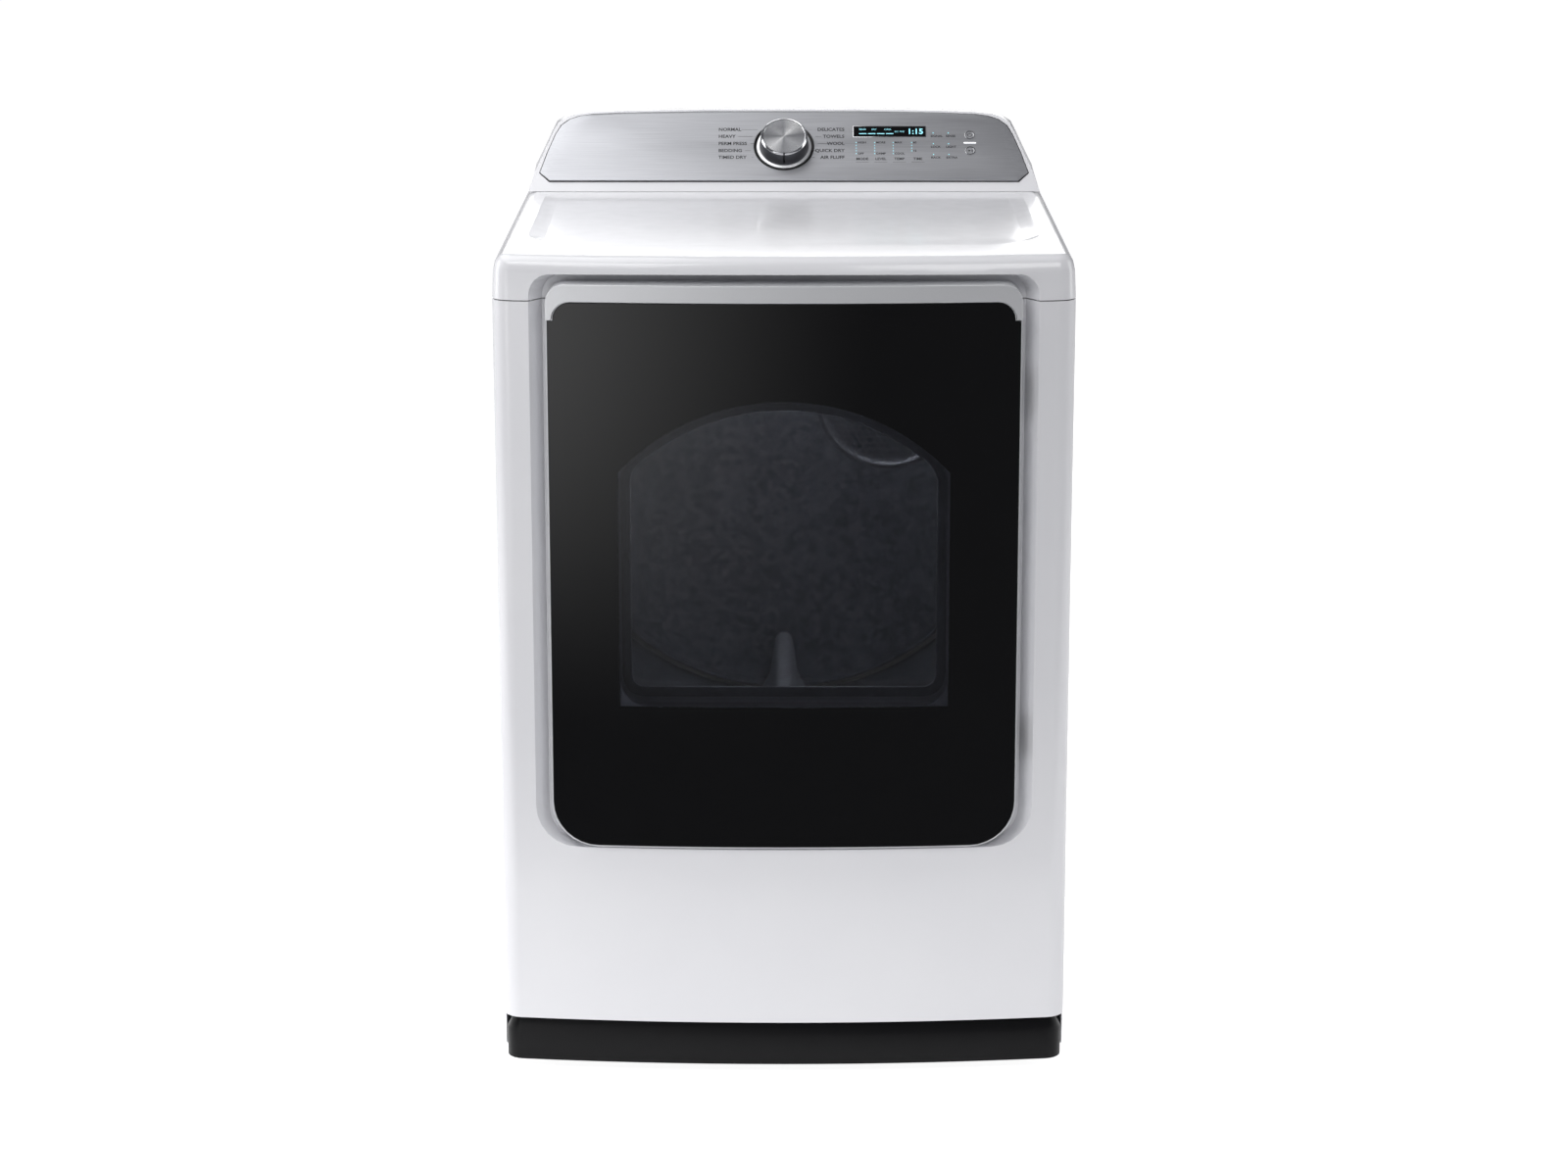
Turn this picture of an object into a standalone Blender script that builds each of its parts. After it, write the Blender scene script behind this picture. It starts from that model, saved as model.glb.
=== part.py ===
"""Full-size clothes dryer: bowed front, side-swing glass door, tilted rear console.

Metres, +Z up, front towards -Y, +X to the right of a person facing the dryer.
The origin is the middle of the overall box, at floor level.
"""
import math

import bmesh
import bpy
from mathutils import Matrix, Vector

# ---------------------------------------------------------------- driving dimensions
# Cabinet
WIDTH = 0.686
SIDE_DEPTH = 0.677          # from the front corners to the rear panel
FRONT_BOW = 0.023           # how far the middle of the front stands before its corners
CORNER_RADIUS = 0.025
KICK_BOTTOM = 0.012
PANEL_BOTTOM = 0.067
SEAM_HEIGHT = 0.952         # seam between the front and the top cover
TOP_HEIGHT = 1.006          # rolled rim of the top cover
SHEET = 0.0012              # side and rear steel
PRESSED = 0.0020            # pressed front and top cover
SEAM_GAP = 0.0012
CLEARANCE = 0.0003
FRONT_WRAP = 0.012          # the front panel's return along the sides
SIDE_FLANGE = 0.012

# Door and its recess
DOOR_HALF_WIDTH = 0.2785
DOOR_BOTTOM = 0.2905
DOOR_TOP = 0.974
DOOR_CORNER = 0.055
GLASS_CORNER = 0.022
HANDLE_HEIGHT = 0.020
HANDLE_END_DROP = 0.022
HANDLE_END_WIDTH = 0.0065
DOOR_PROUD = 0.006          # glass before the front panel
HANDLE_PROUD = 0.006        # handle before the glass
GLASS_THICKNESS = 0.004
DOOR_WALL = 0.0025
DOOR_LIP = 0.0013
DOOR_BACK_SETBACK = 0.036   # the door's flat back, behind the crest of the front
BACK_CHAMFER = 0.004
RECESS_GAP = 0.004          # between the door's back and the recess floor
RECESS_HALF_WIDTH = 0.284   # at the recess floor
RECESS_TOP = 0.981
RECESS_BOTTOM = 0.2885
RECESS_SIDE_SLOPE = 0.66
RECESS_TOP_SLOPE = 0.11
RECESS_BOTTOM_SLOPE = 0.04
RECESS_CORNER = 0.042        # lower corners at the floor; tight enough for the open door to pass
RECESS_CORNER_GROWTH = 0.4
RECESS_HEAD_CORNER = 0.024

# Window, plug and mouth: each is an arch, wider than the one before
WINDOW_HALF = 0.1835
WINDOW_BOTTOM = 0.4725
WINDOW_TOP = 0.8127
WINDOW_CROWN = 0.265
WINDOW_SHOULDER = 0.030
WINDOW_FOOT = 0.015
CLEAR_HALF = 0.196          # clear field of the outer glass
CLEAR_BOTTOM = 0.465
CLEAR_TOP = 0.8366
PLUG_MARGIN = 0.0225
MOUTH_GAP = 0.006
PLUG_DEPTH = 0.035
SEAL_WIDTH = 0.012

# Door hinge
HINGE_X = 0.268
HINGE_SETBACK = 0.0215      # hinge pin behind the crest of the front
HINGE_LOW = 0.420
HINGE_HIGH = 0.840
HINGE_POCKET = 0.052
PIN_RADIUS = 0.0022
EYE_RADIUS = 0.0045

# Drum
DRUM_RADIUS = 0.327
DRUM_SHEET = 0.0018
DRUM_HEIGHT = 0.636
DRUM_LENGTH = 0.542
DRUM_REAR_GAP = 0.016        # from the drum's open rear edge to the bulkhead behind it
COLLAR_RADIUS = 0.2865
COLLAR_LENGTH = 0.011
RIM_GAP = 0.0065            # felt space between a bulkhead's rim and the drum
BULKHEAD_SHEET = 0.0025
THROAT_DEPTH = 0.067
BAFFLE_HEIGHT = 0.085
BAFFLE_HALF_WIDTH = 0.034
BAFFLES = 3
ROLLER_RADIUS = 0.035
ROLLER_WIDTH = 0.020
ROLLER_ANGLE = math.radians(35)
STUD_RADIUS = 0.006

# Drive and air path
MOTOR_X = 0.075
MOTOR_HEIGHT = 0.125
MOTOR_RADIUS = 0.062
MOTOR_SETBACK = 0.168        # behind the crest of the front
MOTOR_LENGTH = 0.135
SHAFT_RADIUS = 0.006
PULLEY_RADIUS = 0.0095
BELT_TO_MOTOR = 0.080        # belt behind the motor's rear end
BELT_WIDTH = 0.008
BELT_THICKNESS = 0.0025
IDLER_RADIUS = 0.025
IDLER_X = 0.003
IDLER_HEIGHT = 0.175
IDLER_PIVOT_X = 0.000
IDLER_PIVOT_HEIGHT = 0.112
WHEEL_RADIUS = 0.075
WHEEL_WIDTH = 0.048
SCROLL_RADIUS = 0.088
SCROLL_GROWTH = 0.016
DUCT_RADIUS = 0.051
DUCT_HEIGHT = 0.085
DUCT_BEND = 0.060
DUCT_X = -0.105
DUCT_STUB = 0.038
INLET_ANGLE = math.radians(29.436)   # hot-air inlet, up from the drum's level on the right
INLET_TO_RIM = 0.05445
INLET_RADIUS = 0.098

# Lint filter
FILTER_HALF_WIDTH = 0.105
FILTER_THICKNESS = 0.012
FILTER_HEIGHT = 0.200
CHUTE_BOTTOM = 0.236

# Console
CONSOLE_TILT = math.radians(45)
FACE_BOTTOM = 1.020
FACE_TO_REAR = 0.119         # lower edge of the face before the rear panel
FACE_LENGTH = 0.1164
FASCIA_THICKNESS = 0.0025
KNOB_RADIUS = 0.0306
KNOB_HEIGHT = 0.0225
SKIRT_RADIUS = 0.0358
KNOB_HOLE = 0.0400
KNOB_RISE = 0.0559          # knob axis above the face's lower edge, along the face
BUTTON_RADIUS = 0.007
BUTTON_X = 0.2446
POWER_RISE = 0.0746
START_RISE = 0.0486
DISPLAY = (0.0916, 0.1867, 0.0715, 0.0888)   # left, right, low, high on the face

# Base and feet
PAN_HEIGHT = 0.014
PAN_SHEET = 0.0016
FOOT_RADIUS = 0.022
FOOT_X = 0.290
FOOT_FRONT_SETBACK = 0.093   # behind the crest of the front
FOOT_REAR_INSET = 0.047      # before the rear panel

# Dish in the top cover
DISH_HALF = 0.309
DISH_SETBACK = 0.101         # behind the crest of the front
DISH_TO_FACE = 0.018

# Latch
LATCH_X = -0.245
LATCH_HEIGHT = 0.600
LATCH_SLOT_WIDTH = 0.015
LATCH_SLOT_HEIGHT = 0.020
LOUVRE_FOOT = 0.13            # rear sheet's slots: lowest, then one every pitch
LOUVRE_PITCH = 0.022

# ---------------------------------------------------------------- derived places
HANDLE_FRONT = -(HANDLE_PROUD + DOOR_PROUD + FRONT_BOW + SIDE_DEPTH + DUCT_STUB) / 2
GLASS_FRONT = HANDLE_FRONT + HANDLE_PROUD
CREST = GLASS_FRONT + DOOR_PROUD
CORNER = CREST + FRONT_BOW
REAR = CORNER + SIDE_DEPTH
DOOR_BACK = CREST + DOOR_BACK_SETBACK
RECESS_FLOOR = DOOR_BACK + RECESS_GAP
HINGE_Y = CREST + HINGE_SETBACK
BOW_RADIUS = (WIDTH ** 2 / 4 + FRONT_BOW ** 2) / (2 * FRONT_BOW)
CORNER_X = WIDTH / 2 - CORNER_RADIUS
CORNER_Y = CREST + BOW_RADIUS - math.sqrt((BOW_RADIUS - CORNER_RADIUS) ** 2 - CORNER_X ** 2)
WRAP_END = CORNER_Y + FRONT_WRAP
BULKHEAD_FRONT = RECESS_FLOOR + PRESSED + CLEARANCE
THROAT_BACK = BULKHEAD_FRONT + THROAT_DEPTH
DRUM_FRONT = THROAT_BACK - 0.004
DRUM_REAR = DRUM_FRONT + DRUM_LENGTH
REAR_BULKHEAD = DRUM_REAR + DRUM_REAR_GAP
PLUG_BACK = DOOR_BACK + PLUG_DEPTH
FILTER_FRONT = PLUG_BACK + 0.0035
CHUTE_FRONT = FILTER_FRONT - 0.001
CHUTE_BACK = FILTER_FRONT + FILTER_THICKNESS + 0.0035
GRIP_BOTTOM = DOOR_TOP - HANDLE_HEIGHT
FACE_Y = REAR - FACE_TO_REAR
DISH_FRONT = CREST + DISH_SETBACK
DISH_REAR = FACE_Y - DISH_TO_FACE
MOTOR_FRONT = CREST + MOTOR_SETBACK
BELT_Y = MOTOR_FRONT + MOTOR_LENGTH + BELT_TO_MOTOR
FOOT_FRONT = CREST + FOOT_FRONT_SETBACK
FOOT_REAR = REAR - FOOT_REAR_INSET
FEET = {"foot_front_left": (-FOOT_X, FOOT_FRONT), "foot_front_right": (FOOT_X, FOOT_FRONT),
        "foot_rear_left": (-FOOT_X, FOOT_REAR), "foot_rear_right": (FOOT_X, FOOT_REAR)}
PAN_TOP = PAN_HEIGHT + PAN_SHEET
WHEEL_FRONT = CHUTE_FRONT + 0.004
DUCT_START = MOTOR_X - SCROLL_RADIUS - SCROLL_GROWTH - 0.012
MOUTH_BOTTOM = WINDOW_BOTTOM - PLUG_MARGIN - MOUTH_GAP
DRUM_INSIDE = DRUM_RADIUS - DRUM_SHEET
INLET_REACH = DRUM_INSIDE - RIM_GAP - 0.003 - BULKHEAD_SHEET - INLET_TO_RIM - INLET_RADIUS
INLET_X = INLET_REACH * math.cos(INLET_ANGLE)
INLET_HEIGHT = DRUM_HEIGHT + INLET_REACH * math.sin(INLET_ANGLE)


# ---------------------------------------------------------------- materials
def material(name, colour, roughness, metallic=0.0, alpha=1.0):
    """A Principled material in one colour."""
    made = bpy.data.materials.new(name)
    made.use_nodes = True
    shader = made.node_tree.nodes["Principled BSDF"]
    shader.inputs["Base Color"].default_value = (*colour, 1.0)
    shader.inputs["Roughness"].default_value = roughness
    shader.inputs["Metallic"].default_value = metallic
    shader.inputs["Alpha"].default_value = alpha
    made.diffuse_color = (*colour, 1.0)
    return made


FINISHES = {
    "enamel": ((0.86, 0.86, 0.88), 0.25, 0.0, 1.0),
    "white_plastic": ((0.80, 0.80, 0.81), 0.45, 0.0, 1.0),
    "black_plastic": ((0.012, 0.012, 0.014), 0.45, 0.0, 1.0),
    "grey_plastic": ((0.30, 0.31, 0.33), 0.50, 0.0, 1.0),
    "black_glass": ((0.004, 0.004, 0.006), 0.05, 0.0, 1.0),
    "clear_glass": ((0.75, 0.80, 0.80), 0.03, 0.0, 0.35),
    "brushed_steel": ((0.42, 0.42, 0.44), 0.32, 1.0, 1.0),
    "satin_silver": ((0.62, 0.62, 0.64), 0.25, 1.0, 1.0),
    "galvanised": ((0.55, 0.57, 0.58), 0.45, 1.0, 1.0),
    "steel": ((0.45, 0.45, 0.46), 0.30, 1.0, 1.0),
    "felt": ((0.55, 0.53, 0.48), 0.95, 0.0, 1.0),
    "rubber": ((0.03, 0.03, 0.03), 0.80, 0.0, 1.0),
    "circuit": ((0.02, 0.20, 0.08), 0.50, 0.0, 1.0),
    "nichrome": ((0.30, 0.26, 0.24), 0.45, 1.0, 1.0),
    "motor_paint": ((0.10, 0.11, 0.12), 0.45, 0.4, 1.0),
}


# ---------------------------------------------------------------- modelling helpers
def clear_scene():
    for old in list(bpy.data.objects):
        bpy.data.objects.remove(old, do_unlink=True)


def finish(name, bm, finish_name, smooth=35):
    """Turns a bmesh into a named object with one finish and faces pointing out."""
    bmesh.ops.remove_doubles(bm, verts=bm.verts, dist=1e-6)
    bmesh.ops.recalc_face_normals(bm, faces=bm.faces)
    mesh = bpy.data.meshes.new(name)
    bm.to_mesh(mesh)
    bm.free()
    mesh.shade_smooth()
    mesh.set_sharp_from_angle(angle=math.radians(smooth))
    made = bpy.data.objects.new(name, mesh)
    bpy.context.collection.objects.link(made)
    if finish_name not in bpy.data.materials:
        material(finish_name, *FINISHES[finish_name])
    mesh.materials.append(bpy.data.materials[finish_name])
    return made


def place(a, b, c, axis):
    """A point whose third value runs along the named axis."""
    return {"X": (c, a, b), "Y": (a, c, b), "Z": (a, b, c)}[axis]


def prism(name, outline, axis, low, high, finish_name):
    """An outline in the two other axes, extruded from low to high along one axis."""
    bm = bmesh.new()
    face = bm.faces.new([bm.verts.new(place(a, b, low, axis)) for a, b in outline])
    moved = bmesh.ops.extrude_face_region(bm, geom=[face])["geom"]
    corners = [item for item in moved if isinstance(item, bmesh.types.BMVert)]
    bmesh.ops.translate(bm, verts=corners, vec=place(0, 0, high - low, axis))
    return finish(name, bm, finish_name)


def block(name, x, y, z, finish_name):
    """A box between three pairs of values."""
    outline = [(x[0], y[0]), (x[1], y[0]), (x[1], y[1]), (x[0], y[1])]
    return prism(name, outline, "Z", z[0], z[1], finish_name)


def loft(name, loops, finish_name, ring=False):
    """Skins equal loops of points in turn; the ends are capped, or joined into a ring."""
    bm = bmesh.new()
    rows = [[bm.verts.new(point) for point in loop] for loop in loops]
    count = len(rows[0])
    pairs = list(zip(rows, rows[1:]))
    if ring:
        pairs.append((rows[-1], rows[0]))
    for row, after in pairs:
        for i in range(count):
            j = (i + 1) % count
            bm.faces.new((row[i], row[j], after[j], after[i]))
    if not ring:
        bm.faces.new(rows[0])
        bm.faces.new(rows[-1])
    return finish(name, bm, finish_name)


def turned(name, profile, centre, axis, finish_name, segments=32):
    """Spins a closed profile of (radius, place along the axis) once round the axis."""
    bm = bmesh.new()
    verts = [bm.verts.new((r, 0, h)) for r, h in profile]
    edges = [bm.edges.new((verts[i - 1], verts[i])) for i in range(len(verts))
             if profile[i - 1][0] or profile[i][0]]
    bmesh.ops.spin(bm, geom=verts + edges, axis=(0, 0, 1), cent=(0, 0, 0),
                   angle=math.tau, steps=segments, use_merge=True)
    bmesh.ops.remove_doubles(bm, verts=bm.verts, dist=1e-6)
    bmesh.ops.dissolve_degenerate(bm, edges=bm.edges, dist=1e-7)
    turn = Vector((0, 0, 1)).rotation_difference(Vector(axis)).to_matrix().to_4x4()
    bmesh.ops.transform(bm, matrix=Matrix.Translation(centre) @ turn, verts=bm.verts)
    return finish(name, bm, finish_name)


def rod(name, start, end, radius, finish_name, segments=16):
    """A plain round bar between two points."""
    run = Vector(end) - Vector(start)
    profile = [(0, 0), (radius, 0), (radius, run.length), (0, run.length)]
    return turned(name, profile, start, run.normalized(), finish_name, segments)


def boolean(target, tool, operation):
    """Applies one exact Boolean to the target and removes the tool."""
    step = target.modifiers.new(operation.lower(), "BOOLEAN")
    step.operation = operation
    step.solver = "EXACT"
    step.object = tool
    bpy.context.view_layer.update()
    shape = target.evaluated_get(bpy.context.evaluated_depsgraph_get())
    mesh = bpy.data.meshes.new_from_object(shape)
    target.modifiers.clear()
    target.data = mesh
    bpy.data.objects.remove(tool, do_unlink=True)
    return target


def cut(target, *tools):
    for tool in tools:
        boolean(target, tool, "DIFFERENCE")
    return target


def join(target, *tools):
    for tool in tools:
        boolean(target, tool, "UNION")
    return target


def bow(x):
    """How far the bowed front falls back at a distance x from the middle."""
    return BOW_RADIUS - math.sqrt(BOW_RADIUS ** 2 - x ** 2)


def bow_front(target, limit, slices=12):
    """Bends everything before the limit to the front's bow and leaves the rest flat."""
    bm = bmesh.new()
    bm.from_mesh(target.data)
    for i in range(1, slices):
        x = DOOR_HALF_WIDTH * (2 * i / slices - 1)
        bmesh.ops.bisect_plane(bm, geom=bm.verts[:] + bm.edges[:] + bm.faces[:],
                               plane_co=(x, 0, 0), plane_no=(1, 0, 0), dist=1e-6)
    for vert in bm.verts:
        if vert.co.y < limit:
            vert.co.y += bow(vert.co.x)
    bm.to_mesh(target.data)
    bm.free()
    return target


def pivot(name, centre):
    """An empty on a joint's axis."""
    made = bpy.data.objects.new(name, None)
    made.location = centre
    made.empty_display_size = 0.05
    bpy.context.collection.objects.link(made)
    return made


def hang(target, holder):
    """Parents a piece to a joint's empty, with its own origin on the axis."""
    target.data.transform(Matrix.Translation(-holder.location))
    target.parent = holder
    return target


def arc(cx, cy, radius, start, end, steps):
    """Points on an arc, angles in degrees, both ends included."""
    angles = [math.radians(start + (end - start) * i / steps) for i in range(steps + 1)]
    return [(cx + radius * math.cos(a), cy + radius * math.sin(a)) for a in angles]


def rounded(half, bottom, top, foot, head, steps=6):
    """A rectangle about x = 0 with its own lower and upper corner radii."""
    return (arc(half - foot, bottom + foot, foot, -90, 0, steps)
            + arc(half - head, top - head, head, 0, 90, steps)
            + arc(head - half, top - head, head, 90, 180, steps)
            + arc(foot - half, bottom + foot, foot, 180, 270, steps))


def arch(grow):
    """The window's arch, grown outwards all round by an offset."""
    half = WINDOW_HALF + grow
    foot = WINDOW_FOOT + grow
    shoulder = WINDOW_SHOULDER + grow
    crown = WINDOW_CROWN + grow
    bottom = WINDOW_BOTTOM - grow
    middle = WINDOW_TOP + grow - crown
    shoulder_x = half - shoulder
    rise = math.sqrt((crown - shoulder) ** 2 - shoulder_x ** 2)
    lean = math.degrees(math.atan2(rise, shoulder_x))
    return (arc(half - foot, bottom + foot, foot, -90, 0, 5)
            + arc(shoulder_x, middle + rise, shoulder, 0, lean, 4)
            + arc(0, middle, crown, lean, 180 - lean, 12)[1:-1]
            + arc(-shoulder_x, middle + rise, shoulder, 180 - lean, 180, 4)
            + arc(foot - half, bottom + foot, foot, 180, 270, 5))


def front_curve(inset):
    """The cabinet's front in plan, from its left side to its right, both corners round."""
    lean = math.degrees(math.asin(CORNER_X / (BOW_RADIUS - CORNER_RADIUS)))
    radius = CORNER_RADIUS - inset
    return (arc(-CORNER_X, CORNER_Y, radius, 180, 270 - lean, 5)
            + arc(0, CREST + BOW_RADIUS, BOW_RADIUS - inset, 270 - lean, 270 + lean, 14)[1:-1]
            + arc(CORNER_X, CORNER_Y, radius, 270 + lean, 360, 5))


def plan(inset, rear):
    """The whole cabinet in plan, closed by a straight rear edge."""
    half = WIDTH / 2 - inset
    return front_curve(inset) + [(half, rear), (-half, rear)]


def at_height(outline, z):
    return [(x, y, z) for x, y in outline]


def at_depth(outline, y):
    return [(x, y, z) for x, z in outline]


# ---------------------------------------------------------------- door recess and mouth
def recess(grow, back):
    """The door's recess as a solid, widening to the front, grown by a wall."""
    loops = []
    for depth in (0.0, 0.08):
        half = RECESS_HALF_WIDTH + RECESS_SIDE_SLOPE * depth + grow
        bottom = RECESS_BOTTOM - RECESS_BOTTOM_SLOPE * depth - grow
        top = RECESS_TOP + RECESS_TOP_SLOPE * depth + grow
        foot = RECESS_CORNER + RECESS_CORNER_GROWTH * depth + grow
        y = RECESS_FLOOR - depth if depth else RECESS_FLOOR + back
        loops.append(at_depth(rounded(half, bottom, top, foot,
                                      RECESS_HEAD_CORNER + grow), y))
    return loft("recess", loops, "enamel")


def mouth(front, rear, grow=0.0):
    return prism("mouth", arch(PLUG_MARGIN + MOUTH_GAP + grow), "Y", front, rear, "enamel")


# ---------------------------------------------------------------- cabinet
def build_front_panel():
    """Pressed sheet with the recess, the mouth and the latch slot."""
    top = SEAM_HEIGHT - SEAM_GAP / 2
    panel = prism("front_panel", plan(0, WRAP_END), "Z", PANEL_BOTTOM, top, "enamel")
    inside = prism("inside", plan(PRESSED, WRAP_END + 0.1), "Z",
                   PANEL_BOTTOM - 0.05, top + 0.05, "enamel")
    cut(inside, recess(PRESSED * 1.3, PRESSED))
    cut(panel, inside, recess(0, 0), mouth(CREST, 0))
    slot = block("slot", (LATCH_X - LATCH_SLOT_WIDTH / 2, LATCH_X + LATCH_SLOT_WIDTH / 2), (CREST, 0),
                 (LATCH_HEIGHT - LATCH_SLOT_HEIGHT / 2, LATCH_HEIGHT + LATCH_SLOT_HEIGHT / 2), "enamel")
    return cut(panel, slot)


def top_loops(inset, drop, bottom):
    """Rolled edge of the top cover: plan outlines, each higher and further in."""
    steps = [(0.0, bottom), (0.0015, SEAM_HEIGHT + 0.033), (0.004, TOP_HEIGHT - 0.010),
             (0.010, TOP_HEIGHT - 0.003), (0.020, TOP_HEIGHT)]
    loops = []
    for i, (step, z) in enumerate(steps):
        height = z if i == 0 else z - drop
        reach = min(step + inset, CORNER_RADIUS - 0.002)
        loops.append(at_height(plan(reach, REAR - min(step, 0.004) - inset), height))
    return loops


def dish(drop):
    """Shallow dish in the top, its floor rising to nothing at the console."""
    loops = []
    for grow, z in ((0.018, 0.012), (0.0, 0.0), (-0.018, -0.0065)):
        half = DISH_HALF + grow
        front = DISH_FRONT - grow
        rear = DISH_REAR + grow
        corners = (arc(half - 0.09, front + 0.09, 0.09, -90, 0, 6)
                   + arc(half - 0.03, rear - 0.03, 0.03, 0, 90, 4)
                   + arc(0.03 - half, rear - 0.03, 0.03, 90, 180, 4)
                   + arc(0.09 - half, front + 0.09, 0.09, 180, 270, 6))
        loop = []
        for x, y in corners:
            fade = min(1.0, max(0.0, (DISH_REAR - y) / (DISH_REAR - DISH_FRONT - 0.15)))
            floor = z * fade if z < 0 else z
            loop.append((x, y, TOP_HEIGHT + floor - drop - (0.0002 if z <= 0 else 0)))
        loops.append(loop)
    return loft("dish", loops, "enamel")


def build_top_panel():
    """Top cover: one pressed shell with the dish and the upper end of the door recess."""
    bottom = SEAM_HEIGHT + SEAM_GAP / 2
    cover = loft("top_panel", top_loops(0, 0, bottom), "enamel")
    inside = loft("inside", top_loops(PRESSED, PRESSED, bottom - 0.01), "enamel")
    cut(inside, recess(PRESSED * 1.3, PRESSED), dish(PRESSED))
    return cut(cover, inside, recess(0, 0), dish(0))


def build_side(name, side):
    """One side sheet with inward flanges above and below."""
    out = side * WIDTH / 2
    inner = out - side * SHEET
    lip = out - side * SIDE_FLANGE
    low, high = KICK_BOTTOM + 0.008, SEAM_HEIGHT - SEAM_GAP / 2
    outline = [(out, low), (out, high), (lip, high), (lip, high - SHEET), (inner, high - SHEET),
               (inner, low + SHEET), (lip, low + SHEET), (lip, low)]
    return prism(name, outline, "Y", WRAP_END + CLEARANCE * 2, REAR, "enamel")


def build_rear_panel():
    """Rear sheet with the outlet hole and a field of louvre slots."""
    half = WIDTH / 2 - SHEET - CLEARANCE * 2
    top = SEAM_HEIGHT - SEAM_GAP / 2 - SHEET - CLEARANCE
    low = KICK_BOTTOM + 0.008 + SHEET + CLEARANCE
    panel = block("rear_panel", (-half, half), (REAR - SHEET, REAR), (low, top), "galvanised")
    cut(panel, rod("hole", (DUCT_X, REAR - 0.02, DUCT_HEIGHT), (DUCT_X, REAR + 0.02, DUCT_HEIGHT),
                   DUCT_RADIUS + 0.0015, "galvanised", 32))
    for i in range(5):
        z = LOUVRE_FOOT + LOUVRE_PITCH * i
        cut(panel, block("louvre", (0.08, 0.26), (REAR - 0.02, REAR + 0.02), (z, z + 0.008),
                         "galvanised"))
    return panel


def build_kick_plate():
    """Bowed plinth whose upper edge leans back under the front panel."""
    loops = []
    for z, inset in ((KICK_BOTTOM, 0.003), (0.048, 0.003), (PANEL_BOTTOM - 0.0008, 0.012)):
        outer = front_curve(inset)
        inner = front_curve(inset + 0.0025)
        half = WIDTH / 2 - inset
        outer = [(-half, CORNER_Y + 0.006)] + outer + [(half, CORNER_Y + 0.006)]
        half -= 0.0025
        inner = [(-half, CORNER_Y + 0.006)] + inner + [(half, CORNER_Y + 0.006)]
        loops.append(at_height(outer + inner[::-1], z))
    return loft("kick_plate", loops, "black_plastic")


def build_base_pan():
    """Pressed tray with four holes for the feet."""
    half = WIDTH / 2 - SIDE_FLANGE - CLEARANCE * 2
    front, rear = CORNER_Y + 0.018, REAR - SHEET - CLEARANCE
    pan = block("base_pan", (-half, half), (front, rear), (PAN_HEIGHT, PAN_HEIGHT + 0.045),
                "galvanised")
    cut(pan, block("hollow", (PAN_SHEET - half, half - PAN_SHEET),
                   (front + PAN_SHEET, rear - PAN_SHEET), (PAN_TOP, 0.1), "galvanised"))
    for x, y in FEET.values():
        cut(pan, rod("hole", (x, y, 0), (x, y, 0.05), 0.0065, "galvanised"))
    return cut(pan, block("notch", (DUCT_X - DUCT_RADIUS - 0.002, DUCT_X + DUCT_RADIUS + 0.002),
                          (rear - 0.02, rear + 0.02), (DUCT_HEIGHT - DUCT_RADIUS - 0.002, 0.1),
                          "galvanised"))


def build_foot(name):
    """Levelling foot: a round pad under a threaded stem."""
    x, y = FEET[name]
    pad = KICK_BOTTOM - 0.003
    profile = [(0, 0), (FOOT_RADIUS, 0), (FOOT_RADIUS, pad - 0.003), (FOOT_RADIUS - 0.005, pad),
               (0.005, pad), (0.005, 0.058), (0, 0.058)]
    return turned(name, profile, (x, y, 0), (0, 0, 1), "rubber", 16)


# ---------------------------------------------------------------- drum and its supports
def roller_centre(side):
    """Axis of a roller that the drum rests on, left or right."""
    reach = DRUM_RADIUS + CLEARANCE + ROLLER_RADIUS
    return side * reach * math.sin(ROLLER_ANGLE), DRUM_HEIGHT - reach * math.cos(ROLLER_ANGLE)


def build_front_bulkhead():
    """Front drum support: plate, felt rim, disc, throat, filter chute and two roller studs."""
    t = BULKHEAD_SHEET
    f, b = BULKHEAD_FRONT, THROAT_BACK
    rim = COLLAR_RADIUS - RIM_GAP
    axis = (0, 1, 0)
    centre = (0, 0, DRUM_HEIGHT)
    plate = prism("front_bulkhead", rounded(WIDTH / 2 - 0.010, 0.296, 0.944, 0.02, 0.02, 3), "Y",
                  f, f + t, "white_plastic")
    cut(plate, rod("hole", (0, f - 0.01, DRUM_HEIGHT), (0, f + 0.02, DRUM_HEIGHT),
                   rim - t / 2, "white_plastic", 48))
    cup = turned("cup", [(rim - t, f), (rim, f), (rim, b), (0, b), (0, b - t), (rim - t, b - t)],
                 centre, axis, "white_plastic", 48)
    throat = mouth(f + CLEARANCE, b - t / 2, t)
    chute = block("chute", (-FILTER_HALF_WIDTH - 0.0035, FILTER_HALF_WIDTH + 0.0035),
                  (CHUTE_FRONT - 0.002, CHUTE_BACK + 0.002),
                  (CHUTE_BOTTOM, WINDOW_BOTTOM - PLUG_MARGIN - MOUTH_GAP - 0.001), "white_plastic")
    join(plate, cup, throat, chute)
    cut(plate, mouth(f - 0.05, b + 0.05))
    cut(plate, block("slot", (-FILTER_HALF_WIDTH - 0.0015, FILTER_HALF_WIDTH + 0.0015),
                     (CHUTE_FRONT, CHUTE_BACK), (CHUTE_BOTTOM - 0.01, DRUM_HEIGHT), "white_plastic"))
    for side in (-1, 1):
        x, z = roller_centre(side)
        join(plate, rod("stud", (x, f + t / 2, z), (x, DRUM_FRONT + 0.042, z), STUD_RADIUS,
                        "white_plastic"))
    return plate


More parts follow.
